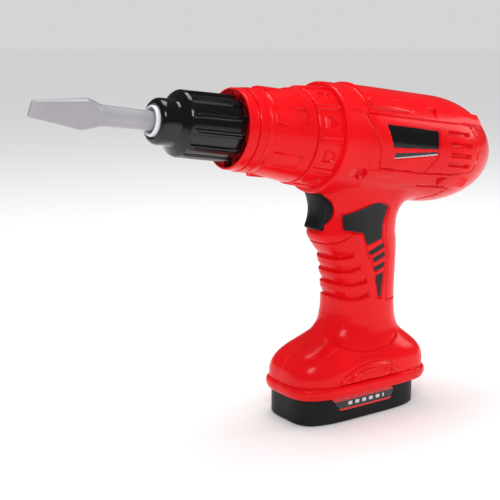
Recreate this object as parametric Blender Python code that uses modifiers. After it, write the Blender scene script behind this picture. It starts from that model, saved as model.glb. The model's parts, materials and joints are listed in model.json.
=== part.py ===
"""Toy power drill: a clamshell body on a battery base, with a geared motor, a sprung trigger,
a chuck that spins and a flat-blade bit that pulls out of it.

World frame: the drill stands on its battery door at Z = 0, the nose points to -X and tips up
by NOSE_UP, and the plane Y = 0 splits the two housing halves. Lengths below are millimetres.
"""
import math

import bmesh
import bpy
import numpy as np
from mathutils import Matrix, Vector

MM = 0.001

# Overall places
NOSE_UP = math.radians(7.6)         # tilt of the barrel above the level base
BARREL_X = -32.6                    # where the barrel axis starts: the rear edge of the torque collar
BARREL_Z = 132.3

# Fits
GAP = 0.3                           # between faces that touch on the real toy
RUN = 0.1                           # running and press fits of round pieces
WALL = 2.2                          # housing wall
SPLIT = 0.15                        # each half stops this far from the middle plane

# Barrel, measured along its axis from the collar's rear edge
BARREL_SIDES = 28
MOUTH_U = -32.8
MOUTH_R = 16.3
BUSH_R = 5.7
COLLAR_RING_R = 17.5
COLLAR_FRONT_R = 18.2
COLLAR_REAR_R = 20.9
COLLAR_BLOCK_R = 19.5
COLLAR_BLOCKS = 6
RIBBED_END_U = 12.8
RIBBED_R = 22.3
BODY_R = 25.8
BODY_FRONT_R = 25.1
RIDGE_U = 26.3
RIDGE_R = 26.2
DOME_U = 78.5
DOME_LENGTH = 41.0
DOME_POWER = 2.15
BULKHEAD_U = -18.0                  # wall inside the collar that carries the spindle's bush
BULKHEAD_WALL = 4.0

VENTS = 4
VENT_U = 74.5
VENT_LENGTH = 13.4
VENT_DEPTH = 1.2
DIMPLE_U, DIMPLE_W = 25.6, -13.4    # blind round dimple on the left flank
DIMPLE_R = 2.4
DIMPLE_FLOOR = 20.6

# Battery base and the foot that stands round it
CASE_HALF_X = 34.8
CASE_HALF_Y = 18.8
FOOT_BOTTOM = 13.0
FOOT_X = CASE_HALF_X + WALL
FOOT_Y = CASE_HALF_Y + WALL

# Handle and foot: height, front, rear, half width and squareness of each level
LEVELS = (
    (FOOT_BOTTOM, -FOOT_X, FOOT_X + 3.5, FOOT_Y, 5.0),
    (14.0, -FOOT_X - 0.4, FOOT_X + 3.9, FOOT_Y + 0.4, 5.0),
    (18.0, -FOOT_X - 0.4, FOOT_X + 3.9, FOOT_Y + 0.4, 5.0),
    (18.6, -FOOT_X + 0.5, FOOT_X + 3.1, FOOT_Y - 0.3, 5.0),
    (25.0, -FOOT_X + 1.0, FOOT_X + 3.3, FOOT_Y - 0.5, 4.4),
    (29.0, -FOOT_X + 3.5, FOOT_X + 1.2, FOOT_Y - 1.6, 3.8),
    (32.5, -27.5, 34.6, 17.6, 3.2),
    (36.0, -18.5, 30.4, 15.8, 2.8),
    (41.0, -13.0, 27.8, 14.8, 2.6),
    (48.0, -10.2, 26.5, 14.3, 2.5),
    (60.0, -10.4, 26.5, 14.2, 2.5),
    (69.0, -11.6, 26.9, 14.3, 2.5),
    (79.0, -14.4, 27.0, 14.4, 2.5),
    (84.0, -18.6, 26.8, 14.5, 2.6),
    (96.0, -16.0, 30.0, 15.0, 2.7),
    (103.0, -17.5, 34.0, 15.8, 2.7),
    (107.0, -23.5, 34.0, 16.8, 2.7),
    (116.0, -26.0, 34.0, 17.4, 2.7),
)
LIP_TOP = 15.4                      # the foot's inner lip, which holds the battery case
NECK_DEPTH = 2.0                    # groove round the case that takes the lip
FLANGE_INSET = 0.8                  # rim of the case above that groove

# Chuck and bit
NOSE_U = -70.0
NOSE_R = 9.6
NOSE_STEP_U = -62.8
SLEEVE_FRONT_R = 13.6
SLEEVE_REAR_R = 14.5
SLEEVE_REAR_U = -24.0
SLEEVE_FLUTES = 12
SOCKET_R = 6.5
SOCKET_LENGTH = 24.0
SHANK_R = 4.0
BIT_TIP_U = -121.0
BIT_REACH = 22.0                    # how far the shank goes into the socket
BIT_ROLL = math.radians(29.0)

# Gear train
MODULE = 0.6
PINION_TEETH = 10
WHEEL_TEETH = 28
WHEEL_WIDTH = 5.0
SPINDLE_R = 3.0
AXLE_R = 1.0
SHAFT_R = 1.0
FRONT_PLATE_U = 4.0
PLATE_WALL = 2.4
OUTPUT_GEAR_U = 8.0
IDLER_WHEEL_U = 15.0
REAR_PLATE_U = 20.6
IDLER_ANGLE = math.radians(90.0)

# Motor
MOTOR_R = 10.0
MOTOR_FLAT = 7.6
MOTOR_LENGTH = 20.0
MOTOR_WALL = 1.0
END_CAP = 5.0

# Trigger
TRIGGER_HALF = 5.2
TRIGGER_BOTTOM = 88.8
TRIGGER_TOP = 106.3
TRIGGER_FRONT = -22.0
TRIGGER_DISH = 2.6                  # how far the finger face curves in
SLOT_CLEAR = 0.4
SLOT_REAR = -3.7
GUIDE_WALL = 2.4
GUIDE_CLEAR = 2.0                   # between the guide and the rear gearbox plate
FLANGE_HALF = 8.0
FLANGE_WALL = 2.0
TRAVEL = 4.0
SPRING_Z = 96.5
SPRING_R = 3.0
SPRING_WIRE = 0.3
SPRING_TURNS = 4
SWITCH_X = 8.0
SWITCH_WALL = 4.0
SWITCH_BOTTOM = 90.0
SWITCH_HEIGHT = 12.5
SWITCH_HALF = 11.4
SCOOP_X, SCOOP_Z = -26.5, 96.5
SCOOP_RX, SCOOP_RZ = 12.5, 10.8
WEB_WALL = 2.0                      # wall left beside the trigger slot by the finger scoops

# Battery base
CASE_POWER = 5.0
CASE_TOP = 20.0
CASE_ROUND = 0.8
BAY_FRONT, BAY_REAR = -27.5, 29.3
BAY_HALF = 15.3
BAY_TOP = 17.6
DOOR_WALL = 2.0
DOOR_INSET = 1.9                    # the door's edge from the case's side
DOOR_SCREW_X = -30.2
CELL_R = 7.25
CELL_LENGTH = 49.4
CELL_NUB = 1.1
CELL_SPREAD = 7.6
CONTACT_WALL = 0.4
TAB_HALF = 2.0
TAB_TOP = CASE_TOP + 2.2
DOOR_SCREW_HEAD_R = 2.1

# Inlays
INLAY_PROUD = 0.1                   # their faces stand this far in from the flank
INLAY_DEPTH = 0.8

# Screws: along the barrel (u, w) and in the handle and foot (x, z)
SCREW_R = 1.25
SCREW_HEAD_R = 2.6
SCREW_HEAD = 1.6
SCREW_SHANK = 13.0
SCREW_SEAT = 7.0                    # counterbores stop this far from the middle plane
BOSS_R = 3.8
BARREL_SCREWS = ((33.0, 17.2), (84.0, 14.5), (27.4, -14.3))
GRIP_SCREWS = ((8.0, 62.0), (-24.0, 26.0), (31.5, 28.0))

# Wires
WIRE_R = 0.6

RED = (0.80, 0.015, 0.02)
BLACK = (0.012, 0.012, 0.013)
SATIN_BLACK = (0.03, 0.03, 0.032)
GREY = (0.48, 0.46, 0.50)
LIGHT = (0.80, 0.79, 0.83)
STEEL = (0.62, 0.63, 0.65)
BRASS = (0.78, 0.60, 0.28)
NYLON = (0.86, 0.85, 0.80)


SLOT_HALF = TRIGGER_HALF + SLOT_CLEAR


# ---------------------------------------------------------------- scene helpers

def clear_scene():
    """Remove what a new file starts with."""
    for thing in list(bpy.data.objects):
        bpy.data.objects.remove(thing)


def collection(name):
    group = bpy.data.collections.new(name)
    bpy.context.scene.collection.children.link(group)
    return group


def material(name, colour, roughness, metallic=0.0):
    """A plain Principled material."""
    made = bpy.data.materials.new(name)
    made.use_nodes = True
    shader = made.node_tree.nodes["Principled BSDF"]
    shader.inputs["Base Color"].default_value = (*colour, 1.0)
    shader.inputs["Roughness"].default_value = roughness
    shader.inputs["Metallic"].default_value = metallic
    made.diffuse_color = (*colour, 1.0)
    return made


def empty(name, place, tilt=0.0):
    """A parent frame, turned about Y."""
    frame = bpy.data.objects.new(name, None)
    frame.location = Vector(place) * MM
    frame.rotation_euler = (0.0, tilt, 0.0)
    PARTS.objects.link(frame)
    return frame


def finish(name, mesh, look, parent=None, tool=False, smooth=True):
    """Wrap a mesh in an object: a piece of the drill, or a hidden tool that shapes one."""
    if smooth:
        mesh.shade_smooth()
        mesh.set_sharp_from_angle(angle=math.radians(32.0))
    thing = bpy.data.objects.new(name, mesh)
    thing.parent = parent
    if tool:
        thing.hide_render = True
        thing.display_type = "WIRE"
        CUTTERS.objects.link(thing)
    else:
        mesh.materials.append(look)
        PARTS.objects.link(thing)
    bpy.context.view_layer.update()
    return thing


def to_mesh(name, shape, place=None):
    """Scale a bmesh from millimetres, put it in its place and make it a mesh."""
    bmesh.ops.scale(shape, vec=(MM, MM, MM), verts=shape.verts)
    mesh = bpy.data.meshes.new(name)
    shape.to_mesh(mesh)
    shape.free()
    if place is not None:
        mesh.transform(place)
    return mesh


def baked(thing, tool=True):
    """The object with its modifiers applied, in the same place."""
    bpy.context.view_layer.update()
    graph = bpy.context.evaluated_depsgraph_get()
    mesh = bpy.data.meshes.new_from_object(thing.evaluated_get(graph))
    mesh.transform(thing.matrix_world)
    name = thing.name
    bpy.data.objects.remove(thing)
    return finish(name, mesh, None, tool=tool)


def boolean(target, tool, operation="DIFFERENCE"):
    """Cut, join or keep what two solids share."""
    step = target.modifiers.new(tool.name, "BOOLEAN")
    step.operation = operation
    step.solver = "EXACT"
    step.object = tool
    return target


# ---------------------------------------------------------------- shape helpers

def box(name, low, high, look=None, parent=None, tool=False):
    """A block between two corners."""
    shape = bmesh.new()
    bmesh.ops.create_cube(shape, size=1.0)
    size = Vector(high) - Vector(low)
    middle = (Vector(high) + Vector(low)) / 2.0
    bmesh.ops.scale(shape, vec=size, verts=shape.verts)
    bmesh.ops.translate(shape, vec=middle, verts=shape.verts)
    return finish(name, to_mesh(name, shape), look, parent, tool, smooth=False)


def rod(name, start, end, radius, look=None, parent=None, tool=False, sides=20):
    """A round bar between two points."""
    start, end = Vector(start), Vector(end)
    shape = bmesh.new()
    run = end - start
    turn = run.to_track_quat("Z", "Y").to_matrix().to_4x4()
    place = Matrix.Translation((start + end) / 2.0) @ turn
    bmesh.ops.create_cone(shape, cap_ends=True, segments=sides, radius1=radius, radius2=radius,
                          depth=run.length, matrix=place)
    return finish(name, to_mesh(name, shape), look, parent, tool)


def turned(name, outline, look=None, parent=None, tool=False, steps=32, start=0.0):
    """Turn an outline of (along, radius) points about the barrel axis."""
    points = list(outline)
    around = sum(a[1] * b[0] - b[1] * a[0] for a, b in zip(points, points[1:] + points[:1]))
    if around > 0.0:
        points.reverse()
    closed = points[0][1] > 0.0 or points[-1][1] > 0.0
    profile = bpy.data.meshes.new(name)
    edges = [(i, i + 1) for i in range(len(points) - 1)]
    if closed:
        edges.append((len(points) - 1, 0))
    profile.from_pydata([(r * MM, 0.0, u * MM) for u, r in points], edges, [])
    thing = bpy.data.objects.new(name, profile)
    CUTTERS.objects.link(thing)
    screw = thing.modifiers.new("turn", "SCREW")
    screw.steps = steps
    screw.render_steps = steps
    screw.use_merge_vertices = True
    screw.merge_threshold = 1e-5
    bpy.context.view_layer.update()
    graph = bpy.context.evaluated_depsgraph_get()
    mesh = bpy.data.meshes.new_from_object(thing.evaluated_get(graph))
    bpy.data.objects.remove(thing)
    mesh.transform(Matrix.Rotation(math.pi / 2, 4, "Y") @ Matrix.Rotation(start, 4, "Z"))
    return finish(name, mesh, look, parent, tool)


SIDE_ON = Matrix(((1, 0, 0, 0), (0, 0, -1, 0), (0, 1, 0, 0), (0, 0, 0, 1)))
CROSSWAYS = Matrix(((0, 0, 1, 0), (1, 0, 0, 0), (0, 1, 0, 0), (0, 0, 0, 1)))


def plate(name, outlines, low, high, facing, look=None, parent=None, tool=False):
    """A flat outline, with holes if it has several loops, given a thickness from low to high.

    SIDE_ON draws in X and Z and thickens along Y; CROSSWAYS draws in Y and Z and thickens along X.
    """
    curve = bpy.data.curves.new(name, "CURVE")
    curve.dimensions = "2D"
    curve.fill_mode = "BOTH"
    curve.extrude = (high - low) / 2.0 * MM
    for outline in outlines:
        spline = curve.splines.new("POLY")
        spline.points.add(len(outline) - 1)
        for point, (a, b) in zip(spline.points, outline):
            point.co = (a * MM, b * MM, 0.0, 1.0)
        spline.use_cyclic_u = True
    thing = bpy.data.objects.new(name, curve)
    CUTTERS.objects.link(thing)
    middle = (low + high) / 2.0 * MM
    shift = (0.0, middle, 0.0) if facing is SIDE_ON else (middle, 0.0, 0.0)
    mesh = welded(thing, Matrix.Translation(shift) @ facing)
    return finish(name, mesh, look, parent, tool)


def welded(thing, place):
    """A curve object's mesh with its loose caps joined on; the curve is removed."""
    bpy.context.view_layer.update()
    graph = bpy.context.evaluated_depsgraph_get()
    mesh = bpy.data.meshes.new_from_object(thing.evaluated_get(graph))
    bpy.data.objects.remove(thing)
    shape = bmesh.new()
    shape.from_mesh(mesh)
    bmesh.ops.remove_doubles(shape, verts=shape.verts, dist=1e-7)
    bmesh.ops.recalc_face_normals(shape, faces=shape.faces)
    shape.to_mesh(mesh)
    shape.free()
    mesh.transform(place)
    return mesh


def tube(name, points, radius, look, parent=None):
    """A wire: a straight-sectioned curve with round walls and filled caps."""
    curve = bpy.data.curves.new(name, "CURVE")
    curve.dimensions = "3D"
    curve.bevel_depth = radius * MM
    curve.bevel_resolution = 2
    curve.use_fill_caps = True
    spline = curve.splines.new("POLY")
    spline.points.add(len(points) - 1)
    for point, co in zip(spline.points, points):
        point.co = (*(Vector(co) * MM), 1.0)
    thing = bpy.data.objects.new(name, curve)
    CUTTERS.objects.link(thing)
    return finish(name, welded(thing, Matrix.Identity(4)), look, parent)


def lofted(name, rings, look=None, parent=None, tool=False):
    """Skin a stack of rings that have the same number of points, and cap both ends."""
    shape = bmesh.new()
    rows = [[shape.verts.new(point) for point in ring] for ring in rings]
    for lower, upper in zip(rows, rows[1:]):
        for i in range(len(lower)):
            j = (i + 1) % len(lower)
            shape.faces.new((lower[i], lower[j], upper[j], upper[i]))
    shape.faces.new(reversed(rows[0]))
    shape.faces.new(rows[-1])
    bmesh.ops.recalc_face_normals(shape, faces=shape.faces)
    bmesh.ops.triangulate(shape, faces=shape.faces)
    return finish(name, to_mesh(name, shape), look, parent, tool)


def rounded(half_a, half_b, power, count, start=0.0):
    """Points round a superellipse; a power of 2 is an ellipse and more is squarer."""
    t = np.arange(count) * 2.0 * math.pi / count + start
    c, s = np.cos(t), np.sin(t)
    a = half_a * np.sign(c) * np.abs(c) ** (2.0 / power)
    b = half_b * np.sign(s) * np.abs(s) ** (2.0 / power)
    return a, b


def level_ring(level, inset=0.0, count=24):
    """One level of the handle or foot as a ring of points, taken in by inset."""
    z, front, rear, half, power = level
    across, out = rounded((rear - front) / 2.0 - inset, half - inset, power, count)
    return [((front + rear) / 2.0 + a, b, z) for a, b in zip(across, out)]


def circle(radius, count=20, centre=(0.0, 0.0), start=0.0):
    a, b = rounded(radius, radius, 2.0, count, start)
    return [(centre[0] + p, centre[1] + q) for p, q in zip(a, b)]


def spiral(start, end, radius, turns, per_turn=8):
    """Points of a coil between two places on a line along X."""
    count = turns * per_turn + 1
    t = np.linspace(0.0, 1.0, count)
    turn = 2.0 * math.pi * turns * t
    x = start[0] + (end[0] - start[0]) * t
    return [(a, start[1] + radius * math.cos(b), start[2] + radius * math.sin(b)) for a, b in zip(x, turn)]


def barrel_point(u, w, y=0.0):
    """World place of a point given along the barrel (u), square to it in the middle plane (w) and across."""
    return (BARREL_X + u * math.cos(NOSE_UP) + w * math.sin(NOSE_UP), y,
            BARREL_Z - u * math.sin(NOSE_UP) + w * math.cos(NOSE_UP))


# ---------------------------------------------------------------- housing

def dome(radius, length, start, count=8):
    """The rounded rear end as (along, radius) points that run in to the axis."""
    t = np.linspace(0.0, math.pi / 2.0, count)
    u = start + length * np.sin(t) ** (2.0 / DOME_POWER)
    r = radius * np.cos(t) ** (2.0 / DOME_POWER)
    return list(zip(u[:-1], r[:-1])) + [(start + length, 0.0)]


def barrel_form(inset=0.0):
    """The barrel's outside, solid, with the collar's rings and groove."""
    outline = [(MOUTH_U + inset, 0.0),
               (MOUTH_U + inset, COLLAR_RING_R - 0.8 - inset),
               (MOUTH_U + 1.0, COLLAR_RING_R - inset),
               (-28.6, COLLAR_RING_R + 0.2 - inset),
               (-28.3, COLLAR_RING_R - 0.3 - inset),
               (-27.8, COLLAR_RING_R - 0.3 - inset),
               (-27.5, COLLAR_RING_R + 0.5 - inset),
               (-21.5, COLLAR_FRONT_R + 0.1 - inset),
               (-20.5, COLLAR_FRONT_R - inset),
               (-0.5, COLLAR_REAR_R - inset),
               (-0.3, COLLAR_REAR_R - 0.5 - inset),
               (0.3, COLLAR_REAR_R - 0.5 - inset),
               (0.5, COLLAR_REAR_R + 0.3 - inset),
               (RIBBED_END_U, RIBBED_R - inset),
               (RIBBED_END_U, BODY_FRONT_R - 0.8 - inset),
               (RIBBED_END_U + 0.8, BODY_FRONT_R - inset),
               (RIDGE_U - 0.3, BODY_FRONT_R + 0.1 - inset),
               (RIDGE_U, RIDGE_R - inset),
               (RIDGE_U + 1.4, RIDGE_R - inset),
               (RIDGE_U + 2.8, BODY_R - inset)]
    outline += dome(BODY_R - inset, DOME_LENGTH - inset, DOME_U)
    return turned("barrel_form", outline, parent=BARREL, tool=True, steps=BARREL_SIDES)


def grip_form(inset=0.0):
    """The outside of the handle and foot, solid."""
    return lofted("grip_form", [level_ring(level, inset) for level in LEVELS], tool=True)


def body_form(inset=0.0):
    """Barrel, handle and foot as one solid."""
    whole = boolean(grip_form(inset), barrel_form(inset), "UNION")
    return baked(whole)


def barrel_space():
    """The air inside the barrel, with steps that leave the bulkhead, plate seats and motor cradle."""
    plate_r = BODY_R - WALL
    seat_r = plate_r - 2.8
    front_r = COLLAR_REAR_R - WALL
    rear_face = REAR_PLATE_U + PLATE_WALL + GAP
    cradle_u = rear_face + MOTOR_LENGTH * 0.7
    outline = [(MOUTH_U - 5.0, 0.0),
               (MOUTH_U - 5.0, MOUTH_R),
               (BULKHEAD_U, MOUTH_R),
               (BULKHEAD_U, BUSH_R + RUN),
               (BULKHEAD_U + BULKHEAD_WALL, BUSH_R + RUN),
               (BULKHEAD_U + BULKHEAD_WALL, COLLAR_FRONT_R - WALL),
               (FRONT_PLATE_U - GAP, front_r - 1.6),
               (FRONT_PLATE_U - GAP, front_r),
               (RIBBED_END_U + 0.8, front_r + 0.5),
               (RIBBED_END_U + 1.8, plate_r - 0.9),
               (rear_face, plate_r - 0.7),
               (rear_face, seat_r),
               (rear_face + 1.6, seat_r),
               (rear_face + 1.6, plate_r),
               (cradle_u, plate_r),
               (cradle_u, MOTOR_R + GAP),
               (cradle_u + 2.0, MOTOR_R + GAP),
               (cradle_u + 2.0, plate_r)]
    outline += dome(plate_r, DOME_LENGTH - WALL, DOME_U)
    return turned("barrel_space", outline, parent=BARREL, tool=True, steps=BARREL_SIDES,
                  start=math.pi / BARREL_SIDES)


def grip_space():
    """The air inside the handle and foot, down through the foot's lip."""
    wall = WALL - 0.2
    half_x = CASE_HALF_X - NECK_DEPTH + GAP
    half_y = CASE_HALF_Y - NECK_DEPTH + GAP
    rings = [level_ring((z, -half_x, half_x, half_y, CASE_POWER)) for z in (FOOT_BOTTOM - 2.0, LIP_TOP)]
    rings.append(level_ring((LIP_TOP, *LEVELS[1][1:]), wall))
    rings += [level_ring(level, wall) for level in LEVELS[2:]]
    return lofted("grip_space", rings, tool=True)


def mirrored_box(name, low, high, parent=None):
    """A pair of tool blocks, one on each side of the middle plane; low and high hold positive y."""
    pair = []
    for side in (-1, 1):
        near, far = sorted((side * low[1], side * high[1]))
        pair.append(box(f"{name}_{side}", (low[0], near, low[2]), (high[0], far, high[2]), parent=parent, tool=True))
    return pair


def scoop_pair(name, inner, grow=0.0):
    """Two oval blocks beside the trigger, from inner outwards."""
    ring = [(SCOOP_X + (SCOOP_RX + grow) * a, SCOOP_Z + (SCOOP_RZ + grow) * b) for a, b in circle(1.0, 28)]
    return [plate(f"{name}_{side}", [ring], *sorted((side * inner, side * 30.0)), SIDE_ON, tool=True)
            for side in (-1, 1)]


def screw_places():
    """World (x, z) of every screw that joins the halves."""
    along = [barrel_point(u, w) for u, w in BARREL_SCREWS]
    return [(x, z) for x, _, z in along] + list(GRIP_SCREWS)


def on_flank(block, angle, side=-1):
    """Turn a block made on top of the barrel so that it lies on a flank, angle above the level."""
    block.rotation_euler = (-side * (math.pi / 2.0 - angle), 0.0, 0.0)
    bpy.context.view_layer.update()
    return block


def collar_blocks():
    """Raised blocks round the torque collar, all topped at one radius."""
    blocks = []
    for i in range(COLLAR_BLOCKS):
        angle = math.radians(25.0) + i * 2.0 * math.pi / COLLAR_BLOCKS
        block = box(f"collar_block_{i}", (-19.8, -3.1, 14.5), (-4.8, 3.1, COLLAR_BLOCK_R), parent=BARREL, tool=True)
        blocks.append(on_flank(block, angle))
    return blocks


def vent_slots(side):
    """Blind cooling slots on the rear flank."""
    slots = []
    for i in range(VENTS):
        slot = box(f"vent_{side}_{i}", (VENT_U, -0.8, BODY_R - VENT_DEPTH), (VENT_U + VENT_LENGTH, 0.8, BODY_R + 4.0),
                   parent=BARREL, tool=True)
        slots.append(on_flank(slot, math.radians(19.0 - 10.6 * i), side))
    return slots


def body_space():
    """All the air inside the body, with bosses, trigger guide and switch holder left standing."""
    space = boolean(grip_space(), barrel_space(), "UNION")
    for i, (x, z) in enumerate(screw_places()):
        boolean(space, rod(f"boss_{i}", (x, -40.0, z), (x, 40.0, z), BOSS_R, tool=True))
    for wall in scoop_pair("scoop_wall", SLOT_HALF, WEB_WALL):
        boolean(space, wall)
    guide_low = (SCOOP_X, -SLOT_HALF - GUIDE_WALL, TRIGGER_BOTTOM - SLOT_CLEAR - GUIDE_WALL)
    guide_high = (SLOT_REAR, SLOT_HALF + GUIDE_WALL, TRIGGER_TOP + SLOT_CLEAR + GUIDE_WALL)
    boolean(space, box("trigger_guide", guide_low, guide_high, tool=True))
    holder_low = (SWITCH_X - GAP - 1.5, SWITCH_HALF - 2.0, SWITCH_BOTTOM - GAP - WALL)
    holder_high = (SWITCH_X + SWITCH_WALL + GAP + 1.5, 30.0, SWITCH_BOTTOM + SWITCH_HEIGHT + GAP + WALL)
    for block in mirrored_box("switch_holder", holder_low, holder_high):
        boolean(space, block)
    return baked(space)


def housing_halves():
    """Hollow the body, cut its openings, and split it at the middle plane."""
    whole = body_form()
    for block in collar_blocks():
        boolean(whole, block, "UNION")
    boolean(whole, body_space())
    for scoop in scoop_pair("scoop", SLOT_HALF + WEB_WALL):
        boolean(whole, scoop)
    slot_low = (-60.0, -SLOT_HALF, TRIGGER_BOTTOM - SLOT_CLEAR)
    slot_high = (SLOT_REAR + 1.0, SLOT_HALF, TRIGGER_TOP + SLOT_CLEAR)
    boolean(whole, box("trigger_slot", slot_low, slot_high, tool=True))
    pocket_low = (SWITCH_X - GAP, -SWITCH_HALF - GAP, SWITCH_BOTTOM - GAP)
    pocket_high = (SWITCH_X + SWITCH_WALL + GAP, SWITCH_HALF + GAP, SWITCH_BOTTOM + SWITCH_HEIGHT + GAP)
    boolean(whole, box("switch_pocket", pocket_low, pocket_high, tool=True))
    whole = baked(whole)
    recesses = side_inlays()
    for side, name in ((-1, "housing_left"), (1, "housing_right")):
        half = finish(name, whole.data.copy(), RED_PLASTIC)
        low, high = sorted((side * SPLIT, side * 60.0))
        boolean(half, box(f"{name}_side", (-200.0, low, -20.0), (200.0, high, 200.0), tool=True), "INTERSECT")
        for i, (x, z) in enumerate(screw_places()):
            bore = SCREW_R + RUN
            if side < 0:
                pilot = SCREW_SHANK - SCREW_SEAT + 1.0
                boolean(half, rod(f"pilot_{i}", (x, -pilot, z), (x, 1.0, z), bore, tool=True))
            else:
                boolean(half, rod(f"clearance_{i}", (x, -1.0, z), (x, 40.0, z), bore, tool=True))
                head = SCREW_HEAD_R + GAP
                boolean(half, rod(f"counterbore_{i}", (x, SCREW_SEAT, z), (x, 40.0, z), head, tool=True))
        for slot in vent_slots(side) + recesses[side]:
            boolean(half, slot)
    dimple = rod("dimple", (DIMPLE_U, -40.0, DIMPLE_W), (DIMPLE_U, -DIMPLE_FLOOR, DIMPLE_W), DIMPLE_R, parent=BARREL,
                 tool=True)
    boolean(bpy.data.objects["housing_left"], dimple)
    bpy.data.objects.remove(whole)


def screw(name, shank, place, turn):
    """A pan-head screw whose head sits a gap off its seat; it points along its own -X."""
    outline = [(-shank, 0.0), (-shank, SCREW_R * 0.6), (-shank + 1.5, SCREW_R), (GAP, SCREW_R),
               (GAP, SCREW_HEAD_R), (GAP + SCREW_HEAD * 0.5, SCREW_HEAD_R),
               (GAP + SCREW_HEAD, SCREW_HEAD_R * 0.6), (GAP + SCREW_HEAD, 0.0)]
    made = turned(name, outline, STEEL_METAL, steps=10)
    made.rotation_euler = turn
    made.location = Vector(place) * MM


def housing_screws():
    """Screws driven in from the right, into the left half's bosses."""
    for i, (x, z) in enumerate(screw_places()):
        screw(f"housing_screw_{i + 1}", SCREW_SHANK, (x, SCREW_SEAT, z), (0.0, 0.0, math.pi / 2.0))


# ---------------------------------------------------------------- inlays

def grow(outline, distance):
    """Move every edge of a flat outline outwards by a distance."""
    points = np.array(outline)
    after = np.roll(points, -1, axis=0) - points
    turn = np.sign(np.sum(points[:, 0] * np.roll(points, -1, axis=0)[:, 1]
                          - points[:, 1] * np.roll(points, -1, axis=0)[:, 0]))
    normal = turn * np.stack((after[:, 1], -after[:, 0]), axis=1) / np.linalg.norm(after, axis=1)[:, None]
    before = np.roll(normal, 1, axis=0)
    square = 1.0 + np.sum(normal * before, axis=1)
    return [tuple(p) for p in points + distance * (normal + before) / square[:, None]]


def inlay(name, outline, side, form, look, parent=None):
    """A thin plate let into a flank, between two insets of that flank's own form; returns its recess."""
    low, high = sorted((side * 6.0, side * 40.0))
    piece = plate(name, [outline], low, high, SIDE_ON, look, parent)
    boolean(piece, form(INLAY_PROUD), "INTERSECT")
    boolean(piece, form(INLAY_DEPTH))
    recess = plate(f"{name}_recess", [grow(outline, GAP)], low, high, SIDE_ON, parent=parent, tool=True)
    boolean(recess, form(INLAY_DEPTH + GAP))
    return baked(recess)


def side_inlays():
    """Badge and stripe on the barrel and inlay on the handle; returns each side's recesses."""
    badge = [(34.8, 9.4), (66.5, 9.2), (66.8, 0.6), (39.0, -0.6)]
    stripe = [(40.3, -3.0), (66.8, -0.6), (66.8, -2.0), (40.6, -5.6)]
    grip = [(-12.2, 97.0), (6.0, 102.0), (13.2, 99.1), (10.3, 91.5), (11.0, 83.5), (13.2, 79.0), (13.4, 71.5),
            (12.6, 54.0), (11.0, 54.0), (5.2, 73.1), (1.4, 81.1), (-1.9, 87.8), (-12.2, 90.1)]
    recesses = {}
    for side, hand in ((-1, "left"), (1, "right")):
        recesses[side] = [inlay(f"side_badge_{hand}", badge, side, barrel_form, BLACK_GLOSS, BARREL),
                          inlay(f"accent_stripe_{hand}", stripe, side, barrel_form, BLACK_GLOSS, BARREL),
                          inlay(f"grip_inlay_{hand}", grip, side, grip_form, BLACK_SATIN)]
    return recesses


# ---------------------------------------------------------------- chuck, bit and spindle

def chuck():
    """Nose and core, ribbed sleeve, light socket, spindle and its bush."""
    core_r = NOSE_R - 0.2
    bore_floor = NOSE_U + SOCKET_LENGTH
    body = [(NOSE_U + 0.2, SOCKET_R + RUN), (NOSE_U, NOSE_R - 1.8), (NOSE_U + 0.8, NOSE_R - 0.8),
            (NOSE_U + 2.2, NOSE_R - 0.3), (NOSE_STEP_U - 0.2, NOSE_R), (NOSE_STEP_U, core_r),
            (SLEEVE_REAR_U + 0.5, core_r), (SLEEVE_REAR_U + 0.5, SPINDLE_R + RUN), (bore_floor + 1.0, SPINDLE_R + RUN),
            (bore_floor + 1.0, SOCKET_R + RUN)]
    turned("chuck_body", body, BLACK_GLOSS, CHUCK, steps=24)
    inner = core_r + RUN
    sleeve = [(NOSE_STEP_U, inner), (NOSE_STEP_U, inner + 0.5), (NOSE_STEP_U + 5.4, SLEEVE_FRONT_R - 0.2),
              (NOSE_STEP_U + 6.2, SLEEVE_FRONT_R), (SLEEVE_REAR_U, SLEEVE_REAR_R), (SLEEVE_REAR_U, inner)]
    shell = turned("chuck_sleeve", sleeve, BLACK_GLOSS, CHUCK, steps=24)
    for i in range(SLEEVE_FLUTES):
        turn = i * 2.0 * math.pi / SLEEVE_FLUTES
        flute = box(f"flute_{i}", (NOSE_STEP_U + 8.5, -1.7, SLEEVE_FRONT_R - 0.5), (0.0, 1.7, SLEEVE_REAR_R + 2.0),
                    parent=CHUCK, tool=True)
        flute.rotation_euler = (turn, 0.0, 0.0)
        boolean(shell, flute)
    bore_r = SHANK_R + RUN
    socket = [(bore_floor - 1.5, 0.0), (bore_floor - 1.5, bore_r), (NOSE_U + 1.4, bore_r),
              (NOSE_U - 0.4, bore_r + 1.0), (NOSE_U - 0.4, SOCKET_R - 0.3), (NOSE_U, SOCKET_R),
              (bore_floor, SOCKET_R), (bore_floor, 0.0)]
    turned("bit_socket", socket, LIGHT_PLASTIC, CHUCK, steps=24)
    spindle_end = OUTPUT_GEAR_U + WHEEL_WIDTH + 0.4
    rod("output_spindle", (bore_floor + 1.5, 0.0, 0.0), (spindle_end, 0.0, 0.0), SPINDLE_R, STEEL_METAL, CHUCK,
        sides=24)
    front = BULKHEAD_U - GAP
    bush = [(front - 1.4, SPINDLE_R + RUN), (front - 1.4, BUSH_R + 2.2), (front, BUSH_R + 2.2), (front, BUSH_R),
            (BULKHEAD_U + BULKHEAD_WALL, BUSH_R), (BULKHEAD_U + BULKHEAD_WALL, SPINDLE_R + RUN)]
    turned("front_bush", bush, NYLON_PLASTIC, BARREL, steps=16)


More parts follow.
